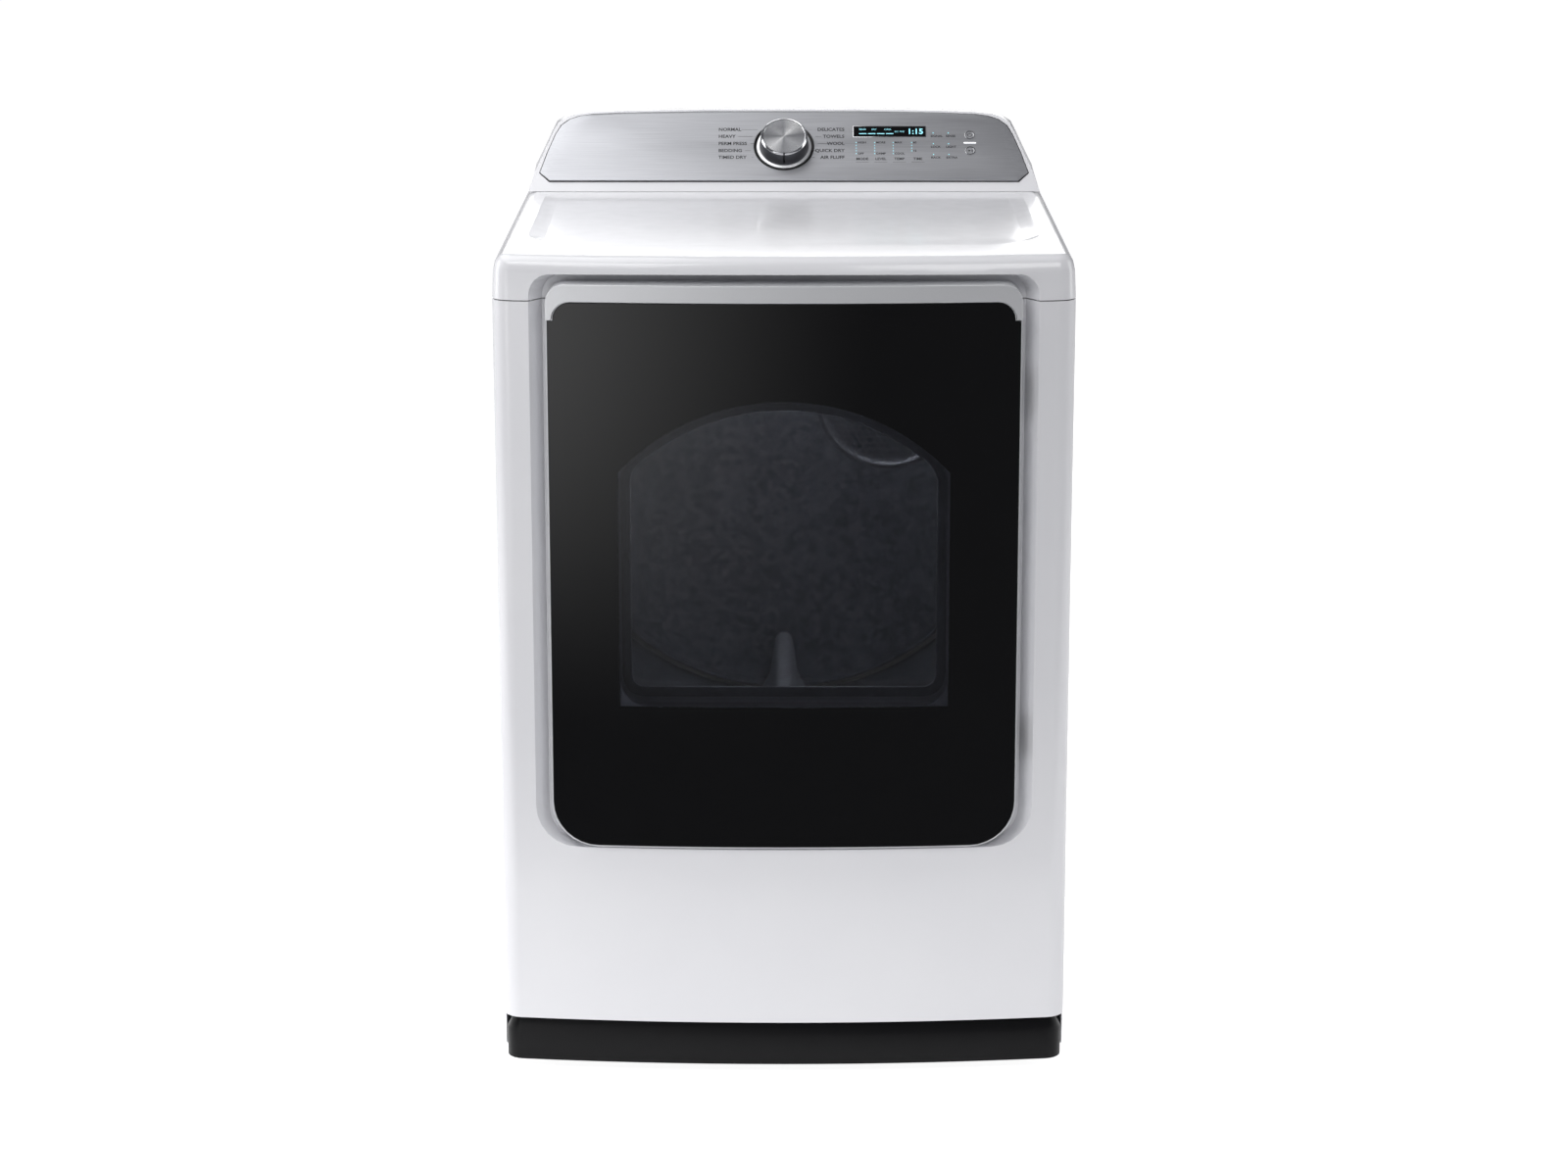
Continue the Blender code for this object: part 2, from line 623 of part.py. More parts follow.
def build_rear_bulkhead():
    """Rear drum support: plate, felt rim, inlet hole and two roller studs."""
    t = BULKHEAD_SHEET
    y = REAR_BULKHEAD
    rim = DRUM_INSIDE - RIM_GAP - 0.003
    plate = prism("rear_bulkhead", rounded(WIDTH / 2 - 0.010, 0.290, 0.944, 0.02, 0.02, 3), "Y",
                  y, y + t, "galvanised")
    join(plate, turned("rim", [(rim - t, y - 0.026), (rim, y - 0.026), (rim, y + t / 2),
                               (rim - t, y + t / 2)], (0, 0, DRUM_HEIGHT), (0, 1, 0),
                       "galvanised", 48))
    cut(plate, rod("inlet", (INLET_X, y - 0.01, INLET_HEIGHT), (INLET_X, y + 0.02, INLET_HEIGHT),
                   INLET_RADIUS - 0.006, "galvanised", 32))
    for side in (-1, 1):
        x, z = roller_centre(side)
        join(plate, rod("stud", (x, y + t / 2, z), (x, DRUM_REAR - 0.055, z), STUD_RADIUS,
                        "galvanised"))
    return plate


def build_inlet_grille():
    """Hot-air inlet: a round plate with a hexagonal field of holes."""
    y = REAR_BULKHEAD - CLEARANCE
    plate = rod("inlet_grille", (INLET_X, y - 0.002, INLET_HEIGHT), (INLET_X, y, INLET_HEIGHT),
                INLET_RADIUS, "galvanised", 32)
    pitch = INLET_RADIUS * 0.60
    for row in range(-1, 2):
        for column in range(3 - abs(row)):
            x = INLET_X + (column - (2 - abs(row)) / 2) * pitch
            z = INLET_HEIGHT + row * pitch * math.sqrt(3) / 2
            cut(plate, rod("hole", (x, y - 0.01, z), (x, y + 0.01, z), pitch * 0.42,
                           "galvanised", 6))
    return plate


def build_drum():
    """Drum shell: front collar and flange, open rear."""
    t = DRUM_SHEET
    f, b, r = DRUM_FRONT, DRUM_REAR, DRUM_RADIUS
    outer = [(COLLAR_RADIUS, f - COLLAR_LENGTH), (COLLAR_RADIUS + t, f - COLLAR_LENGTH),
             (COLLAR_RADIUS + t, f), (r - 0.004, f), (r, f + 0.004)]
    inner = [(COLLAR_RADIUS, f + t), (r - 0.0045, f + t), (r - t, f + 0.0045)]
    outer.append((r, b))
    inner.append((r - t, b))
    return turned("drum_shell", outer + inner[::-1], (0, 0, DRUM_HEIGHT), (0, 1, 0),
                  "galvanised", 48)


def build_baffle(number):
    """Lifter inside the drum: a rounded fin on a flat foot."""
    base = math.sqrt((DRUM_INSIDE - 0.0052) ** 2 - BAFFLE_HALF_WIDTH ** 2) - 0.001
    tip = base - BAFFLE_HEIGHT
    half = BAFFLE_HALF_WIDTH
    outline = ([(-half, -base), (half, -base), (half * 0.55, -base + BAFFLE_HEIGHT * 0.35)]
               + arc(0, -tip - 0.012, 0.012, 10, 170, 6)
               + [(-half * 0.55, -base + BAFFLE_HEIGHT * 0.35)])
    fin = prism(f"drum_baffle_{number + 1}", outline, "Y", DRUM_FRONT + 0.020, DRUM_REAR - 0.032,
                "white_plastic")
    turn = Matrix.Rotation(math.tau * number / BAFFLES, 4, "Y")
    fin.data.transform(Matrix.Translation((0, 0, DRUM_HEIGHT)) @ turn)
    return fin


def build_seal(name, inner, outer, low, high):
    """Felt ring between a bulkhead's rim and the drum."""
    profile = [(inner, low), (outer, low), (outer, high), (inner, high)]
    return turned(name, profile, (0, 0, DRUM_HEIGHT), (0, 1, 0), "felt", 40)


def build_roller(name, side, y):
    """Rubber-tyred roller on a stud, with its middle at y."""
    x, z = roller_centre(side)
    h = ROLLER_WIDTH / 2
    profile = [(STUD_RADIUS + 0.0006, -h), (ROLLER_RADIUS - 0.002, -h), (ROLLER_RADIUS, -h + 0.002),
               (ROLLER_RADIUS, h - 0.002), (ROLLER_RADIUS - 0.002, h), (STUD_RADIUS + 0.0006, h)]
    return turned(name, profile, (x, y, z), (0, 1, 0), "rubber", 20)


# ---------------------------------------------------------------- drive
def build_motor():
    """Motor can with a through bore for its shaft."""
    r, l = MOTOR_RADIUS, MOTOR_LENGTH
    bore = SHAFT_RADIUS + 0.0008
    profile = [(bore, 0), (0.022, 0), (0.022, 0.010), (r - 0.012, 0.012), (r, 0.026),
               (r, l - 0.026), (r - 0.012, l - 0.012), (0.022, l - 0.010), (0.022, l), (bore, l)]
    return turned("drive_motor", profile, (MOTOR_X, MOTOR_FRONT, MOTOR_HEIGHT), (0, 1, 0),
                  "motor_paint", 24)


def build_motor_bracket():
    """Cradle under the motor, with a tab behind the belt that carries the idler pivot."""
    low = PAN_TOP + CLEARANCE
    front, rear = MOTOR_FRONT + 0.030, MOTOR_FRONT + MOTOR_LENGTH - 0.030
    cradle = block("motor_bracket", (MOTOR_X - 0.055, MOTOR_X + 0.055), (front, rear),
                   (low, MOTOR_HEIGHT - 0.030), "galvanised")
    cut(cradle, rod("seat", (MOTOR_X, front - 0.02, MOTOR_HEIGHT),
                    (MOTOR_X, rear + 0.02, MOTOR_HEIGHT), MOTOR_RADIUS + 0.0006, "galvanised", 48))
    cut(cradle, block("relief", (MOTOR_X - 0.045, MOTOR_X + 0.045),
                      (front + 0.006, rear - 0.006), (low + 0.004, MOTOR_HEIGHT), "galvanised"))
    back = BELT_Y + 0.020
    join(cradle, block("rail", (IDLER_PIVOT_X - 0.014, MOTOR_X + 0.020), (rear - 0.010, back),
                       (low, low + 0.0035), "galvanised"))
    join(cradle, block("tab", (IDLER_PIVOT_X - 0.013, IDLER_PIVOT_X + 0.013),
                       (back - 0.004, back - 0.0005), (low + 0.001, IDLER_PIVOT_HEIGHT + 0.014),
                       "galvanised"))
    join(cradle, rod("pin", (IDLER_PIVOT_X, BELT_Y + 0.0085, IDLER_PIVOT_HEIGHT),
                     (IDLER_PIVOT_X, back - 0.002, IDLER_PIVOT_HEIGHT), 0.004, "galvanised"))
    return cradle


def build_motor_shaft():
    """Shaft with the blower wheel's seat at the front and the belt pulley behind."""
    front = WHEEL_FRONT - 0.004
    r, h = SHAFT_RADIUS, BELT_WIDTH / 2 + 0.0015
    profile = [(0, front), (r, front), (r, BELT_Y - h - 0.003), (PULLEY_RADIUS + 0.004, BELT_Y - h - 0.003),
               (PULLEY_RADIUS + 0.004, BELT_Y - h), (PULLEY_RADIUS, BELT_Y - h),
               (PULLEY_RADIUS, BELT_Y + h), (PULLEY_RADIUS + 0.004, BELT_Y + h),
               (PULLEY_RADIUS + 0.004, BELT_Y + h + 0.003), (r, BELT_Y + h + 0.003),
               (r, BELT_Y + 0.018), (0, BELT_Y + 0.018)]
    return turned("motor_shaft", profile, (MOTOR_X, 0, MOTOR_HEIGHT), (0, 1, 0), "steel", 16)


def build_blower_wheel():
    """Squirrel-cage wheel: a back disc on a hub, blades and a front ring."""
    bore = SHAFT_RADIUS + CLEARANCE
    f, b = WHEEL_FRONT, WHEEL_FRONT + WHEEL_WIDTH
    centre = (MOTOR_X, 0, MOTOR_HEIGHT)
    axis = (0, 1, 0)
    hub = [(bore, f + 0.004), (0.016, f + 0.004), (0.020, b - 0.003), (WHEEL_RADIUS, b - 0.003),
           (WHEEL_RADIUS, b), (bore, b)]
    wheel = turned("blower_wheel", hub, centre, axis, "grey_plastic", 24)
    join(wheel, turned("ring", [(WHEEL_RADIUS - 0.012, f), (WHEEL_RADIUS - 0.0002, f),
                                (WHEEL_RADIUS - 0.0002, f + 0.003), (WHEEL_RADIUS - 0.012, f + 0.003)],
                       centre, axis, "grey_plastic", 24))
    for i in range(8):
        blade = block("blade", (WHEEL_RADIUS - 0.0105, WHEEL_RADIUS - 0.002),
                      (f + 0.0015, b - 0.0015), (-0.001, 0.001), "grey_plastic")
        turn = Matrix.Rotation(math.tau * (i + 0.5) / 8, 4, "Y")
        blade.data.transform(Matrix.Translation(centre) @ turn)
        join(wheel, blade)
    return wheel


def build_blower_housing():
    """Scroll round the wheel, with the filter chute's collector above and the outlet at left."""
    f, b = WHEEL_FRONT - 0.008, WHEEL_FRONT + WHEEL_WIDTH + 0.008
    wall = 0.0025

    def scroll(grow, front, back):
        outline = [(MOTOR_X + (SCROLL_RADIUS + SCROLL_GROWTH * i / 36 + grow) * math.cos(a),
                    MOTOR_HEIGHT + (SCROLL_RADIUS + SCROLL_GROWTH * i / 36 + grow) * math.sin(a))
                   for i, a in ((i, math.tau * (i / 36) + math.pi * 0.9) for i in range(37))]
        return prism("scroll", outline[:-1], "Y", front, back, "grey_plastic")

    def outlet(grow):
        low, high = DUCT_HEIGHT - DUCT_RADIUS - 0.001, DUCT_HEIGHT + DUCT_RADIUS + 0.001
        return block("outlet", (DUCT_START + (0.0 if grow else -0.01), MOTOR_X - 0.03),
                     (f + wall - grow, b - wall + grow), (low - grow, high + grow), "grey_plastic")

    def collector(grow):
        top = CHUTE_BOTTOM - 0.001 + (0.02 if not grow else 0.0)
        return block("collector", (-FILTER_HALF_WIDTH - 0.001 - grow, FILTER_HALF_WIDTH + 0.001 + grow),
                     (CHUTE_FRONT - grow, CHUTE_BACK + grow), (MOTOR_HEIGHT + 0.070 - grow, top),
                     "grey_plastic")

    housing = scroll(wall, f, b)
    housing.name = "blower_housing"
    join(housing, outlet(wall), collector(wall))
    cut(housing, scroll(0, f + wall, b - wall), outlet(0), collector(0))
    return cut(housing, rod("hole", (MOTOR_X, b - 0.01, MOTOR_HEIGHT), (MOTOR_X, b + 0.01, MOTOR_HEIGHT),
                            SHAFT_RADIUS + 0.004, "grey_plastic", 24))


def build_exhaust_duct():
    """Round duct from the blower's outlet, one bend, then straight out of the rear."""
    y = WHEEL_FRONT + WHEEL_WIDTH / 2 + 0.020
    start = DUCT_START - CLEARANCE
    loops = {}
    for radius in (DUCT_RADIUS, DUCT_RADIUS - 0.001):
        rows = []
        stations = [((start, y), 90)]
        stations += [((DUCT_X + DUCT_BEND + DUCT_BEND * math.cos(math.radians(a)),
                       y + DUCT_BEND + DUCT_BEND * math.sin(math.radians(a))), 360 - a)
                     for a in (270, 247.5, 225, 202.5, 180)]
        stations.append(((DUCT_X, REAR + DUCT_STUB), 180))
        for (x, station), turn in stations:
            lean = math.radians(turn)
            across = Vector((math.cos(lean), -math.sin(lean), 0))
            rows.append([Vector((x, station, DUCT_HEIGHT)) + radius * (
                across * math.cos(a) + Vector((0, 0, 1)) * math.sin(a))
                for a in (math.tau * i / 20 for i in range(20))])
        loops[radius] = rows
    rows = loops[DUCT_RADIUS] + loops[DUCT_RADIUS - 0.001][::-1]
    return loft("exhaust_duct", rows, "galvanised", ring=True)


def build_heater_duct():
    """Flat box behind the rear bulkhead, open at its foot and at the inlet."""
    f, b = REAR_BULKHEAD + BULKHEAD_SHEET + CLEARANCE, REAR - SHEET - CLEARANCE
    x = (INLET_X - 0.100, INLET_X + 0.100)
    z = (0.36, INLET_HEIGHT + 0.102)
    duct = block("heater_duct", x, (f, b), z, "galvanised")
    cut(duct, block("hollow", (x[0] + 0.0015, x[1] - 0.0015), (f + 0.0015, b - 0.0015),
                    (z[0] - 0.01, z[1] - 0.0015), "galvanised"))
    return cut(duct, rod("hole", (INLET_X, f - 0.01, INLET_HEIGHT), (INLET_X, f + 0.01, INLET_HEIGHT),
                         INLET_RADIUS - 0.006, "galvanised", 32))


def build_heater_element():
    """Serpentine heating rod in the duct's lower half."""
    y = (REAR_BULKHEAD + BULKHEAD_SHEET + REAR - SHEET) / 2
    points = []
    for i in range(6):
        z = 0.40 + 0.036 * i
        ends = (INLET_X - 0.075, INLET_X + 0.075)
        points += [(x, y, z) for x in (ends if i % 2 == 0 else ends[::-1])]
    curve = bpy.data.curves.new("heater_element", "CURVE")
    curve.dimensions = "3D"
    curve.bevel_depth = 0.0035
    curve.bevel_resolution = 2
    curve.use_fill_caps = True
    spline = curve.splines.new("POLY")
    spline.points.add(len(points) - 1)
    for point, co in zip(spline.points, points):
        point.co = (*co, 1.0)
    made = bpy.data.objects.new("heater_element", curve)
    bpy.context.collection.objects.link(made)
    curve.materials.append(material("nichrome", *FINISHES["nichrome"]))
    return made


def belt_path(grow):
    """Belt's line round drum, idler (its outer side) and pulley, as tangent arcs."""
    wheels = [((0, DRUM_HEIGHT), DRUM_RADIUS + 0.0016 + grow, 1, 54),
              ((IDLER_X, IDLER_HEIGHT), IDLER_RADIUS + 0.0005 + BELT_THICKNESS - grow, -1, 6),
              ((MOTOR_X, MOTOR_HEIGHT), PULLEY_RADIUS + 0.0005 + grow, 1, 10)]
    headings = []
    for (a, ra, sa, _), (b, rb, sb, _) in zip(wheels, wheels[1:] + wheels[:1]):
        dx, dz = b[0] - a[0], b[1] - a[1]
        headings.append(math.atan2(dz, dx) + math.asin((sa * ra - sb * rb) / math.hypot(dx, dz)))
    points = []
    for i, (centre, radius, side, steps) in enumerate(wheels):
        start = headings[i - 1] - side * math.pi / 2
        end = headings[i] - side * math.pi / 2
        sweep = (end - start) % math.tau if side > 0 else -((start - end) % math.tau)
        for k in range(steps + 1):
            angle = start + sweep * k / steps
            points.append((centre[0] + radius * math.cos(angle), centre[1] + radius * math.sin(angle)))
    return points


def build_belt():
    """Flat belt round the drum and the motor pulley, pressed in by the idler."""
    low, high = BELT_Y - BELT_WIDTH / 2, BELT_Y + BELT_WIDTH / 2
    inner, outer = belt_path(0), belt_path(BELT_THICKNESS)
    loops = [at_depth(outer, low), at_depth(outer, high), at_depth(inner, high), at_depth(inner, low)]
    return loft("drive_belt", loops, "rubber", ring=True)


def build_idler_arm():
    """Lever on the bracket's pin, with the idler's axle at its end."""
    f, b = BELT_Y + 0.0095, BELT_Y + 0.0135
    outline = (arc(IDLER_X, IDLER_HEIGHT, 0.0095, 0, 180, 10)
               + arc(IDLER_PIVOT_X, IDLER_PIVOT_HEIGHT, 0.012, 180, 360, 10))
    arm = prism("idler_arm", outline, "Y", f, b, "steel")
    join(arm, rod("axle", (IDLER_X, BELT_Y - 0.009, IDLER_HEIGHT), (IDLER_X, f + 0.002, IDLER_HEIGHT),
                  0.005, "steel", 16))
    return cut(arm, rod("hole", (IDLER_PIVOT_X, f - 0.01, IDLER_PIVOT_HEIGHT),
                        (IDLER_PIVOT_X, b + 0.01, IDLER_PIVOT_HEIGHT), 0.0045, "steel"))


def build_idler_pulley():
    h = BELT_WIDTH / 2 + 0.003
    r = IDLER_RADIUS
    profile = [(0.0056, -h), (r - 0.003, -h), (r, -h + 0.002), (r, h - 0.002), (r - 0.003, h), (0.0056, h)]
    return turned("idler_pulley", profile, (IDLER_X, BELT_Y, IDLER_HEIGHT), (0, 1, 0), "grey_plastic", 24)


# ---------------------------------------------------------------- filter and fittings
def build_lint_filter():
    """Screen frame that slides up out of the mouth's lower lip."""
    f, b = FILTER_FRONT, FILTER_FRONT + FILTER_THICKNESS
    top = MOUTH_BOTTOM - 0.0005
    low = top - FILTER_HEIGHT
    half = FILTER_HALF_WIDTH
    frame = block("lint_filter", (-half, half), (f, b), (low, top), "grey_plastic")
    for i in range(3):
        x = -half + 0.006 + i * (2 * half - 0.012 + 0.004) / 3
        cut(frame, block("gap", (x, x + (2 * half - 0.012 + 0.004) / 3 - 0.004), (f + 0.003, b + 0.01),
                         (low + 0.006, top - 0.020), "grey_plastic"))
    return cut(frame, block("grip", (-0.035, 0.035), (f + 0.004, b + 0.01), (top - 0.014, top - 0.003),
                            "grey_plastic"))


def build_latch():
    """Catch box behind the recess floor, open to the front for the strike."""
    f = RECESS_FLOOR + PRESSED + CLEARANCE + BULKHEAD_SHEET + CLEARANCE
    x, z = LATCH_X, LATCH_HEIGHT
    box = block("door_latch", (x - 0.017, x + 0.017), (f, f + 0.020), (z - 0.020, z + 0.020),
                "white_plastic")
    return cut(box, block("pocket", (x - 0.0065, x + 0.0065), (f - 0.01, f + 0.013),
                          (z - 0.0085, z + 0.0085), "white_plastic"))


def build_sensor():
    """Moisture sensor below the mouth, facing the load."""
    y = THROAT_BACK + CLEARANCE
    bar = block("moisture_sensor", (-0.060, 0.060), (y, y + 0.003), (0.394, 0.424), "white_plastic")
    for z in (0.400, 0.412):
        join(bar, block("strip", (-0.052, 0.052), (y + 0.002, y + 0.0045), (z, z + 0.006), "steel"))
    return bar


def build_drum_light():
    y = REAR_BULKHEAD - CLEARANCE
    profile = [(0, -0.007), (0.014, -0.005), (0.020, 0), (0, 0)]
    return turned("drum_light", profile, (-0.150, y, 0.800), (0, 1, 0), "clear_glass", 24)


def build_terminal_cover():
    """Folded cover over the mains terminals on the rear."""
    y = REAR + CLEARANCE
    box = block("terminal_cover", (-0.300, -0.205), (y, y + 0.022), (0.760, 0.880), "galvanised")
    return cut(box, block("hollow", (-0.2985, -0.2065), (y - 0.01, y + 0.0205), (0.7615, 0.8785),
                          "galvanised"),
               rod("hole", (-0.2525, y + 0.011, 0.75), (-0.2525, y + 0.011, 0.77), 0.0085, "galvanised"))


# ---------------------------------------------------------------- console
FACE = (Matrix.Translation((0, FACE_Y, FACE_BOTTOM))
        @ Matrix.Rotation(math.pi / 2 - CONSOLE_TILT, 4, "X"))


def face_outline(grow):
    """Face in its own plane: chamfered foot, sides leaning in, shoulders rolling to the top."""
    side = [(0.3060, 0.0), (0.3195, 0.0137), (0.3100, 0.0487), (0.3005, 0.0778), (0.2935, 0.0920),
            (0.2825, 0.1020), (0.2695, 0.1076), (0.2510, 0.1108), (0.2070, 0.1130), (0.1000, 0.1152)]
    scale = FACE_LENGTH / 0.1164
    right = [(x + grow * (x > 0.26), v * scale + grow * (1 if v > 0.09 else -1 if v == 0 else 0))
             for x, v in side]
    return [(-x, v) for x, v in right[::-1]] + right


def on_face(target):
    """Moves a piece modelled in the face's own plane onto the console."""
    target.data.transform(FACE)
    return target


def face_point(x, rise, lift=0.0):
    return FACE @ Vector((x, rise, lift))


def build_console_housing():
    """White shell behind the face, open underneath."""
    def shell(grow, foot):
        front = []
        lift = grow - FASCIA_THICKNESS - CLEARANCE
        base = (foot - FACE_BOTTOM - lift * math.cos(CONSOLE_TILT)) / math.sin(CONSOLE_TILT)
        for x, v in face_outline(0.005 + grow):
            side = 1 if x > 0 else -1
            if v < 0.0:
                front.append((side * (0.334 + grow), base))
            elif v < 0.02:
                front.append((side * (0.327 + grow), v))
            else:
                front.append((x, v))
        rows = []
        for shift, squash in ((0.0, 1.0), (0.55, 1.0), (0.85, 0.985), (1.0, 0.95)):
            row = []
            for x, v in front:
                point = face_point(x, v, lift)
                end = REAR - 0.003 + grow
                y = point.y + (end - point.y) * shift
                z = foot + (point.z - foot) * squash
                row.append((point.x * (1 + 0.012 * shift * (v > base + 0.001)), y, z))
            rows.append(row)
        return loft("console_housing", rows, "enamel")

    housing = shell(0, TOP_HEIGHT + CLEARANCE)
    cut(housing, shell(-0.0025, TOP_HEIGHT - 0.02))
    cut(housing, on_face(rod("hole", (0, KNOB_RISE, -0.03), (0, KNOB_RISE, 0.03), 0.010, "enamel", 24)))
    for rise in (POWER_RISE, START_RISE):
        cut(housing, on_face(rod("hole", (BUTTON_X, rise, -0.03), (BUTTON_X, rise, 0.03), 0.0045,
                                 "enamel")))
    return housing


def build_fascia():
    """Brushed face plate with holes for the knob, display and two buttons."""
    plate = prism("console_fascia", face_outline(0), "Z", -FASCIA_THICKNESS, 0, "brushed_steel")
    cut(plate, rod("hole", (0, KNOB_RISE, -0.01), (0, KNOB_RISE, 0.01), KNOB_HOLE, "brushed_steel", 36))
    x0, x1, v0, v1 = DISPLAY
    cut(plate, block("slot", (x0, x1), (v0, v1), (-0.01, 0.01), "brushed_steel"))
    for rise in (POWER_RISE, START_RISE):
        cut(plate, rod("hole", (BUTTON_X, rise, -0.01), (BUTTON_X, rise, 0.01),
                       BUTTON_RADIUS + CLEARANCE, "brushed_steel", 20))
    return on_face(plate)


def build_display():
    x0, x1, v0, v1 = DISPLAY
    gap = CLEARANCE
    return on_face(block("display_window", (x0 + gap, x1 - gap), (v0 + gap, v1 - gap),
                         (-FASCIA_THICKNESS, -0.0002), "black_glass"))


def build_board():
    """Circuit board on four posts behind the housing's face."""
    back = -FASCIA_THICKNESS - CLEARANCE * 2 - 0.0025
    board = block("control_board", (-0.060, 0.280), (0.020, 0.096), (back - 0.0115, back - 0.010),
                  "circuit")
    for x in (-0.052, 0.272):
        for v in (0.028, 0.088):
            join(board, block("post", (x - 0.003, x + 0.003), (v - 0.003, v + 0.003),
                              (back - 0.0105, back - CLEARANCE), "circuit"))
    cut(board, rod("hole", (0, KNOB_RISE, -0.05), (0, KNOB_RISE, 0.05), 0.0085, "circuit", 24))
    return on_face(board)


def build_knob():
    """Cycle knob: stem, flat skirt, tapered grip and a dished face with an index notch."""
    r, h = KNOB_RADIUS, KNOB_HEIGHT
    profile = [(0, -0.026), (0.006, -0.026), (0.006, -0.0022), (SKIRT_RADIUS, -0.0022),
               (SKIRT_RADIUS, 0.0006), (r + 0.0015, 0.0010), (r + 0.0008, h * 0.45), (r, h - 0.0018),
               (r - 0.0015, h), (r - 0.004, h - 0.0006), (0, h - 0.0010)]
    knob = turned("cycle_knob", profile, (0, KNOB_RISE, 0), (0, 0, 1), "satin_silver", 36)
    cut(knob, block("notch", (-0.0012, 0.0012), (KNOB_RISE - r - 0.01, KNOB_RISE - r + 0.002),
                    (0.003, h + 0.01), "satin_silver"))
    return on_face(knob)


def build_button(name, rise):
    """Flush key with a plunger that reaches the board."""
    profile = [(0, -0.0120), (0.0030, -0.0120), (0.0030, -FASCIA_THICKNESS + 0.0015),
               (BUTTON_RADIUS, -FASCIA_THICKNESS + 0.0015), (BUTTON_RADIUS, 0.0),
               (0, 0.0)]
    return on_face(turned(name, profile, (BUTTON_X, rise, 0), (0, 0, 1), "brushed_steel", 20))


# ---------------------------------------------------------------- door
def door_outline(inset):
    """Door below the handle; its upper corners step in for the handle's hooked ends."""
    half = DOOR_HALF_WIDTH - inset
    neck = DOOR_HALF_WIDTH - HANDLE_END_WIDTH - CLEARANCE - inset
    step = GRIP_BOTTOM - HANDLE_END_DROP - CLEARANCE - inset
    radius = GLASS_CORNER - inset
    top = GRIP_BOTTOM - CLEARANCE - inset
    right = [(half, step), (neck, step)] + arc(neck - radius, top - radius, radius, 0, 90, 6)
    left = [(-x, z) for x, z in right[::-1]]
    foot = DOOR_CORNER - inset
    bottom = DOOR_BOTTOM + inset
    return (arc(half - foot, bottom + foot, foot, -90, 0, 8) + right + left
            + arc(foot - half, bottom + foot, foot, 180, 270, 8))


def hinge_pockets():
    """Clearance round each hinge eye, open behind and to the right."""
    tools = []
    for z in (HINGE_LOW, HINGE_HIGH):
        tools.append(block("pocket", (HINGE_X - 0.0245, HINGE_X + 0.04),
                           (HINGE_Y - 0.0055, RECESS_FLOOR + 0.01),
                           (z - HINGE_POCKET / 2, z + HINGE_POCKET / 2), "grey_plastic"))
    return tools


def build_door_frame():
    """Tray behind the glass: bowed web, flat-backed wall and a thin lip round the glass."""
    web = GLASS_FRONT + GLASS_THICKNESS + CLEARANCE
    back = DOOR_BACK - 0.0025
    frame = prism("door_frame", door_outline(0), "Y", GLASS_FRONT + 0.0006, back, "satin_silver")
    cut(frame, prism("seat", door_outline(DOOR_LIP), "Y", GLASS_FRONT - 0.01, web, "satin_silver"),
        prism("hollow", door_outline(DOOR_WALL), "Y", web + DOOR_WALL, back + 0.01, "satin_silver"),
        clear_field(web - 0.01, back + 0.01))
    bow_front(frame, web + DOOR_WALL + 0.001)
    return cut(frame, *hinge_pockets())


def clear_field(front, rear, grow=0.0):
    """Arched clear area of the outer glass, wider and taller than the window behind."""
    half = CLEAR_HALF + grow
    middle = CLEAR_TOP + grow - WINDOW_CROWN
    shoulder = WINDOW_SHOULDER + 0.012
    rise = math.sqrt((WINDOW_CROWN - shoulder) ** 2 - (half - shoulder) ** 2)
    lean = math.degrees(math.atan2(rise, half - shoulder))
    bottom = CLEAR_BOTTOM - grow
    foot = 0.035
    outline = (arc(half - foot, bottom + foot, foot, -90, 0, 5)
               + arc(half - shoulder, middle + rise, shoulder, 0, lean, 4)
               + arc(0, middle, WINDOW_CROWN, lean, 180 - lean, 12)[1:-1]
               + arc(shoulder - half, middle + rise, shoulder, 180 - lean, 180, 4)
               + arc(foot - half, bottom + foot, foot, 180, 270, 5))
    return prism("clear_field", outline, "Y", front, rear, "black_glass")


def build_door_glass():
    glass = prism("door_glass", door_outline(DOOR_LIP + CLEARANCE), "Y", GLASS_FRONT,
                  GLASS_FRONT + GLASS_THICKNESS, "black_glass")
    return bow_front(glass, GLASS_FRONT + GLASS_THICKNESS + 0.001)


def build_door_handle():
    """Full-width bar over the glass with hooked ends, hollow behind."""
    half, low, top = DOOR_HALF_WIDTH, GRIP_BOTTOM, DOOR_TOP
    tip = low - HANDLE_END_DROP
    inner = half - HANDLE_END_WIDTH

    def bar(inset, front, rear):
        radius = GLASS_CORNER
        right = [(half - inset, tip + inset)] + arc(half - 0.022, top - 0.022, 0.022 - inset, 0, 90, 6)
        end = math.degrees(math.asin(inset / (radius + inset)))
        under = arc(inner - radius, low - radius, radius + inset, 90, end, 6)
        mirrored = [(-x, z) for x, z in right[::-1]]
        back = [(-x, z) for x, z in under[::-1]]
        return prism("door_handle", right + mirrored + back + under, "Y", front, rear, "satin_silver")

    handle = bar(0, HANDLE_FRONT, DOOR_BACK - 0.004)
    bow_front(handle, HANDLE_FRONT + 0.001)
    hollow = bar(0.0022, HANDLE_FRONT + 0.0025, DOOR_BACK + 0.01)
    return cut(handle, bow_front(hollow, HANDLE_FRONT + 0.004))


